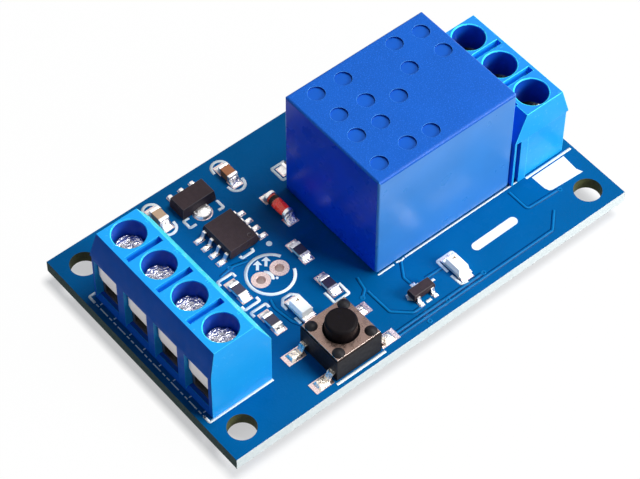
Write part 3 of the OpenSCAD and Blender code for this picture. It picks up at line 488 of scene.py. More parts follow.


# %% [markdown]
# ## The two terminal housings
# Azure nylon, moulded in one shot. Its lighter rounded edges are partly rubbed wear and partly a
# painted highlight. A rule on each face's place and direction picks its finish: painted shade in
# deeper blue on the side away from the lamps, a painted highlight on the chamfers that face them,
# painted shade in the driver wells, and on the output housing nearly black painted shade in the
# hollows behind the wire guards, a painted highlight along the lip of its near end and a top
# darkened as painted shade.

# %% Housings
WALL = 0.55 * MM
WELL_RADIUS = 1.95 * MM
RIM_DEPTH = 0.12 * MM
LIP_HEIGHT = 7.1 * MM
LIP_HALF = 0.15 * MM
for side in ("in", "out"):
    piece = soften(side + "_housing", "board",
                   (azure, azure_wear_and_highlight, azure_well, azure_shade, azure_deep, azure_top), width=0.06)
    repaint(piece, 3, lambda place, normal: normal.x < -0.5)
    # Painted highlight on the chamfers that face the lamps.
    repaint(piece, 1, lambda place, normal: 0.3 < normal.x < 0.95 and normal.z > 0.3)
    low, high = corners(side + "_housing")
    rim = high.z - RIM_DEPTH
    wells = [centre_of(node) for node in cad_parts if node.startswith(side + "_screw")]

    # Painted shade: faces inside a driver well take the darker azure.
    def in_well(place, normal):
        near = min(math.hypot(place.x - well.x, place.y - well.y) for well in wells)
        return near < WELL_RADIUS and place.z < rim

    print(side, len(piece.data.polygons), "faces,", repaint(piece, 2, in_well), "in the wells")

# The last housing made is the output one, which has more finishes.
well_floor = corners("out_clamps")[1].z + 0.05 * MM
lip = low.z + LIP_HEIGHT
# Painted shade: the hollows inside the walls, below the clamps' tops, are nearly black.
print("dark hollows:", repaint(piece, 4, lambda place, normal: (
    place.z < well_floor and within(place, low, high, WALL))), "faces")
# Painted shade on the output housing's top.
repaint(piece, 5, lambda place, normal: place.z > rim and normal.z > 0.98)
# Painted highlight: a lighter line along the lip of the output housing's near end.
repaint(piece, 1, lambda place, normal: normal.y < -0.5 and abs(place.z - lip) < LIP_HALF)

# %% [markdown]
# ## The relay's case
# The case has a finely textured top with small round dimples, whose walls are dark with painted
# shade. Its rounded edges carry a painted highlight. Its sides are smooth, pick up the shine of
# the table and are a lighter blue as a painted sheen, except the side away from the lamps, which
# is a deeper blue as painted shade.

# %% Relay case
case = soften("relay_cover", "board",
              (case_blue, case_edge_highlight, case_side_sheen, case_shade, case_dimple, dimple_wall_shade), width=0.07)
case_low, case_high = corners("relay_cover")
DIMPLE_SHALLOW, DIMPLE_DEEP = 0.02 * MM, 0.8 * MM
CASE_MARGIN = 0.5 * MM


def in_dimple(place, normal):
    """True on the faces of the small round dimples in the case's top."""
    sunk = case_high.z - place.z
    return DIMPLE_SHALLOW < sunk < DIMPLE_DEEP and within(place, case_low, case_high, CASE_MARGIN)


# Painted sheen on the sides; the side facing away from the lamps gets painted shade.
smooth_sides = repaint(case, 2, lambda place, normal: abs(normal.z) < 0.02)
repaint(case, 3, lambda place, normal: normal.x < -0.95)
print("dimples:", repaint(case, 4, in_dimple), "faces")
# Painted shade on the dimples' walls.
repaint(case, 5, lambda place, normal: in_dimple(place, normal) and normal.z < 0.7)
print(case.name, len(case.data.polygons), "faces,", smooth_sides, "on the sides")

# %% [markdown]
# ## The board itself
# Blue mask covers both faces of the board. The cut sides show the glass laminate, painted pale
# on the sides towards the lamps and painted dark, as shade, on the others. The drilled fixing
# holes show it too, a little browner.

# %% Board
board = soften("circuit_board", "board", (mask, laminate, hole_wall, laminate_lit),
               width=0.04, segments=1)
SIDE_BAND = 0.2 * MM


def on_outline(place, normal):
    return abs(normal.z) < 0.8 and not within(place, board_low, board_high, SIDE_BAND)


repaint(board, 0, lambda place, normal: abs(normal.z) > 0.8)
walls = repaint(board, 2, lambda place, normal: abs(normal.z) < 0.8)
print("board: cut sides", repaint(board, 1, on_outline), "faces, walls of holes", walls, "faces")
# Painted light: the sides towards the lamps get the pale laminate.
repaint(board, 3, lambda place, normal: on_outline(place, normal) and normal.x - normal.y > 0.5)

# %% [markdown]
# ## Packages, chips and the button
# Every small part gets the same care as the large ones: a bevel a twentieth of a millimetre
# wide is what makes a black package read as moulded epoxy. A thick-film resistor is black
# only on top, and white ceramic at its sides.

# %% Small moulded bodies
white_ceramic = finish("white_ceramic", (0.92, 0.91, 0.86), 0.5, mottle=0.06, cloud=0.3)
LENS_BASE = 0.42 * MM
for node in ("controller_body", "regulator_body", "transistor_body"):
    soften(node, "board", (epoxy, epoxy_edge), width=0.045)
soften("switch_body", "board", (body_black,), width=0.07)
# The plate's rounds carry a painted highlight.
soften("switch_plate", "board", (nickel, nickel_edge_highlight), width=0.05)
soften("switch_plunger", "plunger", (button_black,), width=0.1, segments=3)
soften("capacitor_1", "board", (tan_ceramic,), width=0.06)
soften("capacitor_2", "board", (brown_ceramic,), width=0.06)
resistors = [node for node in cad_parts
             if node.startswith("resistor_") and node != "resistor_ends"]
for node in resistors:
    chip = soften(node, "board", (glaze, glaze, white_ceramic), width=0.03,
                  segments=1)
    repaint(chip, 2, lambda place, normal: normal.z < 0.3)
lamps = ("indicator_1", "indicator_2")
for node in lamps:
    # The lens carries a painted glow.
    lamp = soften(node, "board", (lens, lens, white_ceramic), width=0.12,
                  segments=3)
    shoulder = corners(node)[0].z + LENS_BASE
    repaint(lamp, 2, lambda place, normal: place.z < shoulder)
print("resistors", len(resistors), "lamps", len(lamps))

# %% The lamps' chips, seen through their lenses
lamp_gold = finish("lamp_gold", (0.3, 0.16, 0.04), 0.4, 0.4, mottle=0.4, cloud=0.2)
CHIP_INSET = 0.55 * MM
CHIP_DEPTH = 0.06 * MM
CHIP_PROUD = 0.008 * MM


def plain_box(name, low, high, material, body):
    shape = bmesh.new()
    bmesh.ops.create_cube(shape, size=1)
    for vert in shape.verts:
        vert.co = [low[i] + (vert.co[i] + 0.5) * (high[i] - low[i]) for i in range(3)]
    return settle(placed(name, mesh_from(shape, name, material)), body)


for node in lamps:
    low, high = corners(node)
    x, y, top = (low.x + high.x) / 2, high.y - CHIP_INSET, high.z + CHIP_PROUD
    for name, dx, wide, deep in (("_bond", 0.0, 0.34, 0.1), ("_die", 0.16, 0.12, 0.34)):
        plain_box(node + name, (x + (dx - wide / 2) * MM, y - deep / 2 * MM, top - CHIP_DEPTH),
                  (x + (dx + wide / 2) * MM, y + deep / 2 * MM, top), lamp_gold, "board")
print("lamp chips set")

# %% Metal ends, leads, screws and guards
for node in ("capacitor_1_ends", "capacitor_2_ends", "resistor_ends", "indicator_ends",
             "diode_caps"):
    soften(node, "board", (tin,), width=0.07)
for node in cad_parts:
    if "_screw_" in node:
        # Painted shade: the output screws get the nearly black zinc.
        plating = zinc if node.startswith("in") else dull_zinc
        soften(node, node, (plating,), width=0.06)
    if "_guard_" in node:
        soften(node, node, (guard_metal,), width=0.05)
    if node.endswith("_leads"):
        dress(node, warm_tin if node == "switch_leads" else tin)
    # The clamp cages carry painted shade.
    if node.endswith("_clamps"):
        dress(node, cage_steel_shaded)

# %% Finishes for the nodes that stay as they are
for material, nodes in (
        (pad_tin, "copper_pads"), (solder, "solder_joints"), (base_blue, "relay_base"),
        (bobbin_white, "relay_bobbin"), (copper_wire, "relay_winding"),
        (soft_iron, "relay_core relay_yoke relay_armature"), (spring_steel, "switch_dome"),
        (bronze, "relay_contact_leaf relay_open_contact relay_closed_contact"),
        (tin, "relay_common_pin relay_coil_pins")):
    for node in nodes.split():
        dress(node, material)

# %% [markdown]
# ## Growing strokes with Geometry Nodes
# The board's ink and its copper tracks are the same thing to a modeller: a thin flat ribbon
# that follows a line. The line is a chain of mesh edges. The tree turns it into a curve,
# rounds its corners, runs a flat rectangle along it and gives it a finish. Its inputs have
# names here, but a modifier is set by each socket's identifier.

# %% The ribbon tree
CORNER_STEPS = 3


def new_tree(name, inputs):
    """A Geometry Nodes tree with a geometry in and out, and named inputs."""
    tree = bpy.data.node_groups.new(name, "GeometryNodeTree")
    tree.interface.new_socket("Geometry", in_out="INPUT", socket_type="NodeSocketGeometry")
    for word, kind in inputs.items():
        tree.interface.new_socket(word, in_out="INPUT", socket_type="NodeSocket" + kind)
    tree.interface.new_socket("Geometry", in_out="OUTPUT", socket_type="NodeSocketGeometry")
    return tree


def chain(tree, geometry, steps):
    """Adds nodes one after another along the geometry, and returns them by kind."""
    made = {}
    for kind, entry in steps:
        node = tree.nodes.new("GeometryNode" + kind)
        tree.links.new(geometry, node.inputs[entry])
        geometry = node.outputs[0]
        made[kind] = node
    tree.links.new(geometry, tree.nodes.new("NodeGroupOutput").inputs["Geometry"])
    return made


def ribbon_tree():
    tree = new_tree("flat_ribbon", {"Width": "Float", "Height": "Float", "Corner": "Float",
                                    "Finish": "Material"})
    given = tree.nodes.new("NodeGroupInput")
    made = chain(tree, given.outputs["Geometry"], (
        ("MeshToCurve", "Mesh"), ("FilletCurve", "Curve"), ("SetCurveNormal", "Curve"),
        ("CurveToMesh", "Curve"), ("SetMaterial", "Geometry"), ("RealizeInstances", "Geometry")))
    fillet, sweep = made["FilletCurve"], made["CurveToMesh"]
    fillet.mode = "POLY"
    made["SetCurveNormal"].mode = "Z_UP"
    section = tree.nodes.new("GeometryNodeCurvePrimitiveQuadrilateral")
    for entry, value in (
            (fillet.inputs["Count"], CORNER_STEPS), (fillet.inputs["Limit Radius"], True),
            (fillet.inputs["Radius"], given.outputs["Corner"]),
            (section.inputs["Height"], given.outputs["Height"]),
            (section.inputs["Width"], given.outputs["Width"]),
            (sweep.inputs["Profile Curve"], section.outputs[0]), (sweep.inputs["Fill Caps"], True),
            (made["SetMaterial"].inputs["Material"], given.outputs["Finish"])):
        put(tree, entry, value)
    return tree


def grow(name, mesh, tree, values, body):
    """A piece made by running a tree on a mesh, then turned into plain mesh."""
    piece = placed(name, mesh)
    modifier = piece.modifiers.new("grow", "NODES")
    modifier.node_group = tree
    for item in tree.interface.items_tree:
        if item.in_out == "INPUT" and item.name in values:
            modifier[item.identifier] = values[item.name]
    apply_modifiers(piece)
    return settle(piece, body)


flat_ribbon = ribbon_tree()


def ribbons(name, lines, width, finish_used, height=0.03, corner=0.12):
    """Flat ribbons along lines on the board. Points and sizes are in millimetres."""
    level = TOP + height * MM / 2
    points, edges = [], []
    for line in lines:
        first = len(points)
        points += [(x * MM, y * MM, level) for x, y in line]
        edges += [(i, i + 1) for i in range(first, len(points) - 1)]
    mesh = bpy.data.meshes.new(name)
    mesh.from_pydata(points, edges, [])
    values = {"Width": width * MM, "Height": height * MM, "Corner": corner * MM,
              "Finish": finish_used}
    piece = grow(name, mesh, flat_ribbon, values, "board")
    print(name, len(lines), "lines,", len(piece.data.polygons), "faces")


# %% [markdown]
# ## The legend
# White ink outlines each part and marks its first pin. Most lines are about a third of a
# millimetre wide. Nearly every outline is worked out from the box of the part that it
# belongs to, so it would follow if the part moved.

# %% Legend helpers, in millimetres
def edges_of(node):
    """Left, right, near and far side of a node, in millimetres."""
    low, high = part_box(node)
    return low[0] / MM, high[0] / MM, low[1] / MM, high[1] / MM


def middle_of(node):
    left, right, near, far = edges_of(node)
    return (left + right) / 2, (near + far) / 2


def arc(centre, radius, start, stop, steps=24):
    """Points on an arc, angles in degrees."""
    angles = [math.radians(start + (stop - start) * i / steps) for i in range(steps + 1)]
    return [(centre[0] + radius * math.cos(a), centre[1] + radius * math.sin(a)) for a in angles]


def end_bracket(x, y, half, reach):
    """A bracket round one end of a part that lies along Y; reach turns it to either end."""
    return [(x - half, y - reach), (x - half, y), (x + half, y), (x + half, y - reach)]


# %% Terminal and relay outlines
GAP = 0.16
POLE_PITCH = 5.08
DASHES = (0.45, 0.45, 1.3)
DASH_GAP = 0.28
left, right, near, far = edges_of("in_housing")
wire_x = left - 0.55
dashes = []
y = near + 0.5
for step in range(40):
    length = DASHES[step % 3]
    if y + length > far - 0.9:
        break
    dashes.append([(wire_x, y), (wire_x, y + length)])
    y += length + DASH_GAP
tick_places = [near + POLE_PITCH * pole + offset for pole in range(4) for offset in (1.2, 3.6)]
ticks = [[(wire_x + 0.25, y), (wire_x + 0.7, y)] for y in tick_places]
corner = [(wire_x, near + 0.8), (wire_x, near - GAP), (right, near - GAP)]
far_corner = [(wire_x, far - 0.9), (wire_x, far + 0.12), (wire_x + 0.85, far + GAP),
              (wire_x + 0.9, far - 0.85)]
out_left, out_right, out_near = edges_of("out_housing")[:3]
out_line = [(out_left + 2.0, out_near - GAP), (out_right + 0.9, out_near - GAP)]
relay_left, relay_right, relay_near = edges_of("relay_cover")[:3]
relay_line = relay_near - GAP
crossing = relay_left + 3.5
ribbons("legend_terminals", [corner, far_corner, out_line], 0.3, legend_ink)
ribbons("legend_wire_side", dashes + ticks, 0.14, legend_ink)
ribbons("legend_relay", [
    [(relay_left + 0.15, relay_line), (crossing - 1.1, relay_line)],
    [(crossing - 0.75, relay_line + 0.05), (crossing - 0.1, relay_line - 0.1),
     (crossing + 0.3, relay_line)],
    [(crossing + 0.45, relay_line), (relay_right + 1.1, relay_line)]], 0.22, legend_ink)

# %% Sensor, controller and regulator marks
HOLES_ASIDE = 0.27
chip_x = middle_of("controller_body")[0]
near = edges_of("controller_body")[2]
hole_x, hole_y = chip_x + HOLES_ASIDE, -0.25
ring = arc((hole_x, hole_y - 0.05), 2.65, 27, 338, 48)
between = arc((hole_x - 0.75, hole_y - 0.1), 0.8, -50, 62, 10)
controller_bracket = [(chip_x - 0.75, near - 0.05), (chip_x - 0.7, near - 0.4),
                      (chip_x + 0.85, near - 0.4), (chip_x + 0.9, near)]
left, right, near, far = edges_of("regulator_body")
regulator_brackets = [
    [(left + 0.65, near - 0.1), (left - 0.1, near - 0.1), (left - 0.1, near - 1.3),
     (left + 0.75, near - 1.3)],
    [(right - 0.7, near - 1.3), (right - 0.02, near - 1.35), (right - 0.02, near - 0.1)]]
ribbons("legend_sensor", [ring, between], 0.36, legend_ink)
ribbons("legend_brackets", [controller_bracket, *regulator_brackets], 0.33, legend_ink)

# %% Marks round the chips, lamps and switch
LAMP_HALF = 1.05


def chip_ends(node, gap, ends=(-1, 1)):
    """The ends of a chip that lies along Y, a gap further out, and which way each looks."""
    x, y = middle_of(node)
    near, far = edges_of(node)[2:]
    return [(x, y + end * ((far - near) / 2 + gap), end) for end in ends]


chip_lines = []
for node in ("capacitor_1", "capacitor_2"):
    for x, y, end in chip_ends(node, 0.85):
        chip_lines.append([(x - 1.0, y - end * 0.3)] + arc((x, y), 0.98, end * 160, end * 20, 8)
                          + [(x + 1.0, y - end * 0.3)])
for node, gap, reach, ends in (("resistor_1", 1.75, 0.6, (-1, 1)), ("resistor_2", 1.75, 0.6, (1,)),
                               ("resistor_4", 1.6, 1.7, (-1,))):
    chip_lines += [end_bracket(x, y, 1.0, end * reach) for x, y, end in chip_ends(node, gap, ends)]
x, y = middle_of("indicator_1")
left, right = x - LAMP_HALF, x + LAMP_HALF
chip_lines += [[(left, y + 1.0), (left, y + 1.75), (x - 0.5, y + 2.35), (x + 0.5, y + 2.35),
                (right, y + 1.75), (right, y - 0.6)],
               [(left, y - 0.35), (left, y - 1.3)]]
x, y = middle_of("indicator_2")
chip_lines += [end_bracket(x, y + 2.0, LAMP_HALF, 1.75),
               [(x - 1.1, y - 0.35), (x - LAMP_HALF, y - 1.85), (x - 0.2, y - 2.0)]]
left, right, near, far = edges_of("switch_body")
chip_lines.append([(left - 0.3, near - 0.35), (right + 0.3, near - 0.35)])
left, right, near, far = edges_of("transistor_body")
chip_lines += [[(right + 0.15, far - 0.2), (right + 0.85, far - 0.2)],
               [(left + 1.1, near - 0.65), (right - 1.1, near - 0.65)]]
x, y = relay_left + 0.53, middle_of("resistor_5")[1]
chip_lines.append([(x + 1.8, y + 1.0), (x, y + 1.0), (x, y - 1.03), (x + 0.45, y - 1.0)])
ribbons("legend_chips", chip_lines, 0.33, legend_ink)

# %% Bare ink patches, arrows and dots
def ink_patches(name, outlines, height=0.03):
    """Flat patches of ink, each from an outline in millimetres."""
    shape = bmesh.new()
    for outline in outlines:
        face = shape.faces.new([shape.verts.new((x * MM, y * MM, TOP)) for x, y in outline])
        if face.calc_area() and face.normal.z < 0:
            face.normal_flip()
        raised = bmesh.ops.extrude_face_region(shape, geom=[face])
        lifted = [v for v in raised["geom"] if isinstance(v, bmesh.types.BMVert)]
        bmesh.ops.translate(shape, verts=lifted, vec=(0, 0, height * MM))
    bmesh.ops.recalc_face_normals(shape, faces=shape.faces)
    settle(placed(name, mesh_from(shape, name, legend_ink)), "board")
    print(name, len(outlines), "patches")


ARROW_WAY = (0.638, 0.77)


def arrow(x, y, length=1.3, head=0.58, half_head=0.5, half_shaft=0.16):
    """The outline of a small arrow from x, y that points away along both axes."""
    dx, dy = ARROW_WAY
    neck = length - head
    outline = ((0, -half_shaft), (neck, -half_shaft), (neck, -half_head), (length, 0),
               (neck, half_head), (neck, half_shaft), (0, half_shaft))
    return [(x + along * dx - aside * dy, y + along * dy + aside * dx) for along, aside in outline]


ink_patches("legend_arrows", [arrow(hole_x - 0.75, 1.0), arrow(hole_x + 0.3, 0.85)])
label = [(out_right + x, out_near + y) for x, y in (
    (-5.2, -0.5), (-0.45, -0.5), (-0.5, -1.3), (-0.6, -2.7), (-0.3, -3.45), (-4.55, -3.2),
    (-4.95, -3.05), (-5.15, -2.5))]
left, right, near, far = edges_of("transistor_body")
transistor_patch = [(left - 0.3, far - 0.5), (left - 0.05, far + 0.1), (left + 0.55, far + 0.1),
                    (left + 0.35, near + 0.2)]
bar = arc((15.0, -11.45), 0.55, -90, 90, 8) + arc((9.7, -11.5), 0.55, 90, 270, 8)
pin_dot = arc((edges_of("controller_leads")[1] - 0.35, 3.0), 0.34, 0, 345, 15)
sensor_dot = arc((hole_x + 0.25, hole_y - 0.85), 0.17, 0, 330, 11)
ink_patches("legend_patches", [label, transistor_patch, bar, pin_dot, sensor_dot])

# %% [markdown]
# ## Tracks under the mask
# Copper tracks show through the mask as slightly raised, lighter bands, each with a darker
# etched groove along both sides. A few carry the coil's current to the transistor and run
# along the near edge. The groove is a wider, lower ribbon on the same line.

# %% Tracks
tracks = [
    [(crossing - 0.1, relay_line), (0.9, -9.7), (1.0, -11.2)],
    [(-3.2, -8.6), (-3.15, -12.1), (-1.3, -13.8), (0.1, -13.8)],
    [(-4.4, -14.6), (7.6, -14.6)],
    [(-4.4, -15.1), (17.5, -15.1), (19.5, -13.2)],
    [(5.2, -11.3), (2.6, -11.2)],
    [(17.4, -8.2), (17.4, -11.2), (21.7, -11.4)],
    [(-14.1, 2.8), (-12.2, 3.1), (-10.5, 2.65)],
    [(-11.9, -2.9), (-12.2, -4.0), (-11.9, -6.5), (-11.2, -8.0)],
    [(-2.9, -6.5), (-3.3, -8.2), (-4.2, -8.9)],
    [(-17.0, 15.2), (-19.0, 13.5), (-21.5, 13.5)],
    [(4.5, 10.4), (16.5, 10.4), (18.5, 12.4), (18.5, 15.2)],
]
ribbons("mask_grooves", tracks, 0.5, mask_groove, height=0.012, corner=0.4)
ribbons("mask_tracks", tracks, 0.3, mask_track, height=0.02, corner=0.4)

# %% [markdown]
# ## Solder
# Melted solder pulls itself into two shapes: a concave slope that climbs the metal end of a
# chip, and a low pillow that wraps the foot of a lead. Each shape is modelled once as a small
# closed mesh. A tree sets it on every joint with its own size and turn, then a noise makes
# each one a little lumpy, so no two are alike.

# %% Two solder shapes and a drop
SOLE = -0.05


def closed_shell(name, steps, surface):
    """A closed mesh: a surface(u, v) above, its shadow on a flat sole, and a rim between."""
    shape = bmesh.new()
    rows = []
    for i in range(steps + 1):
        rows.append([])
        for j in range(steps + 1):
            x, y, z = surface(i / steps, j / steps)
            rows[-1].append((shape.verts.new((x, y, z)), shape.verts.new((x, y, SOLE))))
    for i in range(steps):
        for j in range(steps):
            a, b, c, d = rows[i][j], rows[i + 1][j], rows[i + 1][j + 1], rows[i][j + 1]
            shape.faces.new((a[0], b[0], c[0], d[0]))
            shape.faces.new((d[1], c[1], b[1], a[1]))
    border = ([row[0] for row in rows] + rows[-1][1:-1] + [row[-1] for row in reversed(rows)]
              + rows[0][-2:0:-1])
    for first, second in zip(border, border[1:] + border[:1]):
        shape.faces.new((first[0], first[1], second[1], second[0]))
    bmesh.ops.recalc_face_normals(shape, faces=shape.faces)
    mesh = mesh_from(shape, name)
    mesh.shade_smooth()
    return bpy.data.objects.new(name, mesh)


def slope(u, v):
    """From the metal end at u = 0 down to the pad's rim at u = 1."""
    side = 2 * v - 1
    return u, side * (0.5 - 0.12 * u * u), 0.03 + (1 - u) ** 2.1 * (1 - 0.35 * side ** 4)


def pillow(u, v):
    x, y = 2 * u - 1, 2 * v - 1
    return x / 2, y / 2, 0.04 + math.sqrt((1 - x ** 4) * (1 - y ** 4))


def round_pillow(u, v):
    """The same, drawn in to a disc."""
    x, y = 2 * u - 1, 2 * v - 1
    round_x, round_y = x * math.sqrt(1 - y * y / 2), y * math.sqrt(1 - x * x / 2)
    far = min(1.0, round_x * round_x + round_y * round_y)
    return round_x / 2, round_y / 2, 0.04 + (1 - far) ** 0.6


solder_slope = closed_shell("solder_slope", 8, slope)
solder_pillow = closed_shell("solder_pillow", 8, pillow)
solder_drop = closed_shell("solder_drop", 10, round_pillow)
print("solder shapes:", len(solder_slope.data.polygons), len(solder_drop.data.polygons), "faces")


# %% The tree that sets a shape on every joint
def setting_tree():
    tree = new_tree("set_on_points", {"Shape": "Object", "Lump": "Float", "Lump Scale": "Float",
                                      "Finish": "Material"})
    nodes = tree.nodes
    given = nodes.new("NodeGroupInput")
    shape = nodes.new("GeometryNodeObjectInfo")
    put(tree, shape.inputs["Object"], given.outputs["Shape"])
    stored = {}
    for word in ("turn", "size"):
        attribute = nodes.new("GeometryNodeInputNamedAttribute")
        attribute.data_type = "FLOAT_VECTOR"
        attribute.inputs["Name"].default_value = word
        stored[word] = attribute.outputs["Attribute"]
    made = chain(tree, given.outputs["Geometry"], (
        ("InstanceOnPoints", "Points"), ("RealizeInstances", "Geometry"),
        ("SetPosition", "Geometry"), ("SetMaterial", "Geometry")))
    turned = nodes.new("FunctionNodeEulerToRotation")
    noise = add(tree, "TexNoise", nodes.new("GeometryNodeInputPosition").outputs[0])
    centred = add(tree, "Math", noise.outputs["Fac"], 0.5, operation="SUBTRACT").outputs[0]
    amount = add(tree, "Math", centred, given.outputs["Lump"], operation="MULTIPLY").outputs[0]
    normal = nodes.new("GeometryNodeInputNormal").outputs[0]
    push = add(tree, "VectorMath", normal, operation="SCALE")
    setter = made["InstanceOnPoints"]
    for entry, value in (
            (turned.inputs[0], stored["turn"]),
            (noise.inputs["Scale"], given.outputs["Lump Scale"]),
            (setter.inputs["Instance"], shape.outputs["Geometry"]),
            (setter.inputs["Rotation"], turned.outputs[0]),
            (setter.inputs["Scale"], stored["size"]),
            (push.inputs["Scale"], amount),
            (made["SetPosition"].inputs["Offset"], push.outputs[0]),
            (made["SetMaterial"].inputs["Material"], given.outputs["Finish"])):
        put(tree, entry, value)
    return tree


set_on_points = setting_tree()
PAD_TOP = corners("copper_pads")[1].z
LUMP_SIZE = 0.45 * MM


def set_out(name, shape, places, finish_used, lump=0.06, z=PAD_TOP):
    """Sets a shape on places of (x, y, turn in degrees, length, width, height), in millimetres."""
    mesh = bpy.data.meshes.new(name)
    mesh.from_pydata([(place[0] * MM, place[1] * MM, z) for place in places], [], [])
    turns = mesh.attributes.new("turn", "FLOAT_VECTOR", "POINT")
    sizes = mesh.attributes.new("size", "FLOAT_VECTOR", "POINT")
    for index, place in enumerate(places):
        turns.data[index].vector = (0, 0, math.radians(place[2]))
        sizes.data[index].vector = [length * MM for length in place[3:]]
    values = {"Shape": shape, "Lump": lump * MM, "Lump Scale": 1 / LUMP_SIZE,
              "Finish": finish_used}
    piece = grow(name, mesh, set_on_points, values, "board")
    piece.data.shade_smooth()
    print(name, len(places), "joints,", len(piece.data.polygons), "faces")
    return piece


# %% Solder at the chips' ends
def chip_joints(node, cap, reach, height, along_x=False):
    """Slopes at both ends of a chip, which lies along Y unless told otherwise."""
    left, right, near, far = edges_of(node)
    x, y = (left + right) / 2, (near + far) / 2
    if along_x:
        half, width = (right - left) / 2 + cap, far - near
        return [(x + s * half, y, 90 - s * 90, reach, width + 0.1, height) for s in (-1, 1)]
    half, width = (far - near) / 2 + cap, right - left
    return [(x, y + s * half, s * 90, reach, width + 0.1, height) for s in (-1, 1)]


slopes = []
for node in resistors:
    slopes += chip_joints(node, 0.36, 0.62, 0.4, along_x=node == "resistor_5")
for node in ("capacitor_1", "capacitor_2"):
    slopes += chip_joints(node, 0.36, 0.8, 0.75)
for node in lamps:
    slopes += chip_joints(node, 0.05, 0.34, 0.36)
left, right, near, far = edges_of("diode_caps")
middle = (left + right) / 2
slopes += [(middle, near + 0.03, -90, 0.8, 1.4, 0.95), (middle, far - 0.03, 90, 0.8, 1.4, 0.95)]
set_out("solder_slopes", solder_slope, slopes, solder, lump=0.09)

# %% Solder round the leads
feet = []
left, right, near, far = edges_of("controller_leads")
row = (far - near - 0.42) / 3
for step in range(4):
    y = near + 0.21 + step * row
    feet += [(left + 0.22, y, 180, 0.95, 0.58, 0.24), (right - 0.22, y, 0, 0.95, 0.58, 0.24)]
left, right, near, far = edges_of("transistor_leads")
feet += [(x, y, 0, 0.58, 0.75, 0.2) for x, y in (
    (left + 0.21, near + 0.1), (right - 0.21, near + 0.1), ((left + right) / 2, far - 0.1))]
left, right, near, far = edges_of("regulator_leads")
for x in (left + 0.24, (left + right) / 2, right - 0.24):
    feet.append((x, far - 0.15, 0, 0.62, 0.85, 0.42))
tab = ((left + right) / 2, near + 0.95, 0, 2.2, 2.2, 0.5)
set_out("solder_feet", solder_pillow, feet, solder, lump=0.07)
left, right, near, far = edges_of("switch_leads")
button_feet = [(x, y, 0, 1.5, 1.3, 0.3) for y in (near + 0.4, far - 0.4)
               for x in (left + 0.25, right - 0.25)]
set_out("solder_button", solder_pillow, button_feet, warm_tin, lump=0.12)
set_out("solder_tab", solder_drop, [tab], tin, lump=0.05)

# %% Vias and the plated walls of the sensor holes
def circle(steps):
    """The cosine and sine of each step round a circle."""
    return [(math.cos(i * math.tau / steps), math.sin(i * math.tau / steps)) for i in range(steps)]


def join_rings(shape, rings):
    """Quads between each ring of vertices and the next."""
    for first, second in zip(rings, rings[1:]):
        for i in range(len(first)):
            shape.faces.new((first[i - 1], first[i], second[i], second[i - 1]))


def tube_ring(name, outer, inner, height, steps=20):
    """A short tube, its axis up, from z = 0."""
    shape = bmesh.new()
    rings = [[shape.verts.new((radius * x, radius * y, z)) for x, y in circle(steps)]
             for radius, z in ((outer, 0), (outer, height), (inner, height), (inner, 0))]
    join_rings(shape, rings + rings[:1])
    bmesh.ops.recalc_face_normals(shape, faces=shape.faces)
    return bpy.data.objects.new(name, mesh_from(shape, name))


HOLE_BORE = 0.55
PLATING = 0.03
HOLE_SPACING = 2.54
via_shape = tube_ring("via", 0.5, 0.22, 1)
vias = [(2.6, -14.9), (-0.7, -15.7), (7.9, -14.6), (-4.2, -8.9), (-12.6, 3.1), (16.6, 10.4),
        (4.4, 10.4), (-17.0, 15.2), (-11.2, -8.1), (21.9, -11.5)]
set_out("via_rings", via_shape, [(x, y, 0, 0.62, 0.62, 0.025) for x, y in vias], mask_track,
        lump=0.0, z=TOP)
barrel = tube_ring("barrel", HOLE_BORE, HOLE_BORE - PLATING, (board_high.z - board_low.z) / MM)
bores = [(hole_x + s * HOLE_SPACING / 2, hole_y, 0, 1, 1, 1) for s in (-1, 1)]
barrels = set_out("sensor_barrels", barrel, bores, pad_tin, lump=0.0, z=board_low.z)
barrels.data.set_sharp_from_angle(angle=SHARP)

# %% [markdown]
# ## The glass diode
# Between two tinned caps sits a drawn glass tube with two copper-red studs in it that meet
# at the chip in the middle. A black band marks the cathode end. The tube is turned from one
# profile; its ends shrink a little where the glass was melted onto the studs. The studs carry a
# little painted red glow, which stands for the light that such a tube gathers.

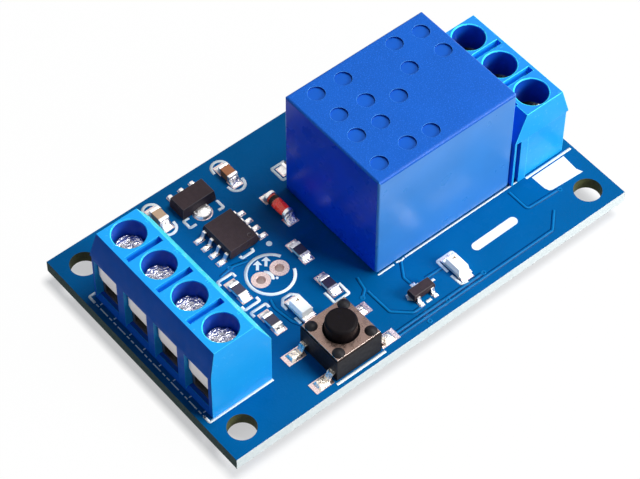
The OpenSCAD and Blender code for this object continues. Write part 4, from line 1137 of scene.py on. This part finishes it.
# %% Diode
glass = finish("diode_glass_red", (1.0, 0.3, 0.18), 0.05, mottle=0.1, cloud=0.6, smudge=0.02,
               grain=0.03, gloss=0.4, Transmission_Weight=0.75, IOR=1.5)
# Painted glow in the studs.
stud_red_glow = finish("diode_stud_red", (1.0, 0.07, 0.015), 0.3, mottle=0.3, cloud=0.3,
                  Emission_Color=(1, 0.06, 0.015, 1), Emission_Strength=0.2)
band_black = finish("diode_band_black", (0.012, 0.01, 0.01), 0.35, mottle=0.3, cloud=0.3)
TURNED_SHARP = math.radians(35)


def turned(name, profile, centre, material, replaced=None, steps=28):
    """A solid turned round the Y axis from (radius, y) points in millimetres."""
    shape = bmesh.new()
    rings = [[shape.verts.new((centre.x + radius * MM * x, centre.y + y * MM,
                               centre.z + radius * MM * z)) for x, z in circle(steps)]
             for radius, y in profile]
    join_rings(shape, rings)
    shape.faces.new(rings[0])
    shape.faces.new(rings[-1])
    bmesh.ops.recalc_face_normals(shape, faces=shape.faces)
    mesh = mesh_from(shape, name, material)
    mesh.shade_smooth()
    mesh.set_sharp_from_angle(angle=TURNED_SHARP)
    return settle(placed(name, mesh), "board", replaced)


low, high = corners("diode_glass")
axis = centre_of("diode_glass")
half = (high.y - low.y) / 2 / MM
radius = (high.x - low.x) / 2 / MM
STUD, STUD_TIP = 0.44, 0.3
tube = [(radius * (0.86 + 0.14 * math.sin(math.pi * step / 12) ** 0.35), half * (step / 6 - 1))
        for step in range(13)]
turned("diode_tube", tube, axis, glass, "diode_glass")
turned("diode_stud_near", [(STUD, -half), (STUD, -0.12), (STUD_TIP, -0.05)], axis, stud_red_glow)
turned("diode_stud_far", [(STUD_TIP, 0.05), (STUD, 0.12), (STUD, half)], axis, stud_red_glow)
proud = radius + 0.012
band = [(radius * 0.9, half * 0.42), (proud, half * 0.43), (proud, half * 0.78),
        (radius * 0.9, half * 0.79)]
turned("diode_band", band, axis, band_black)
print("diode tube", round(2 * half, 2), "mm long,", round(2 * radius, 2), "mm across")

# %% The two corners of the object's box
low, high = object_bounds()
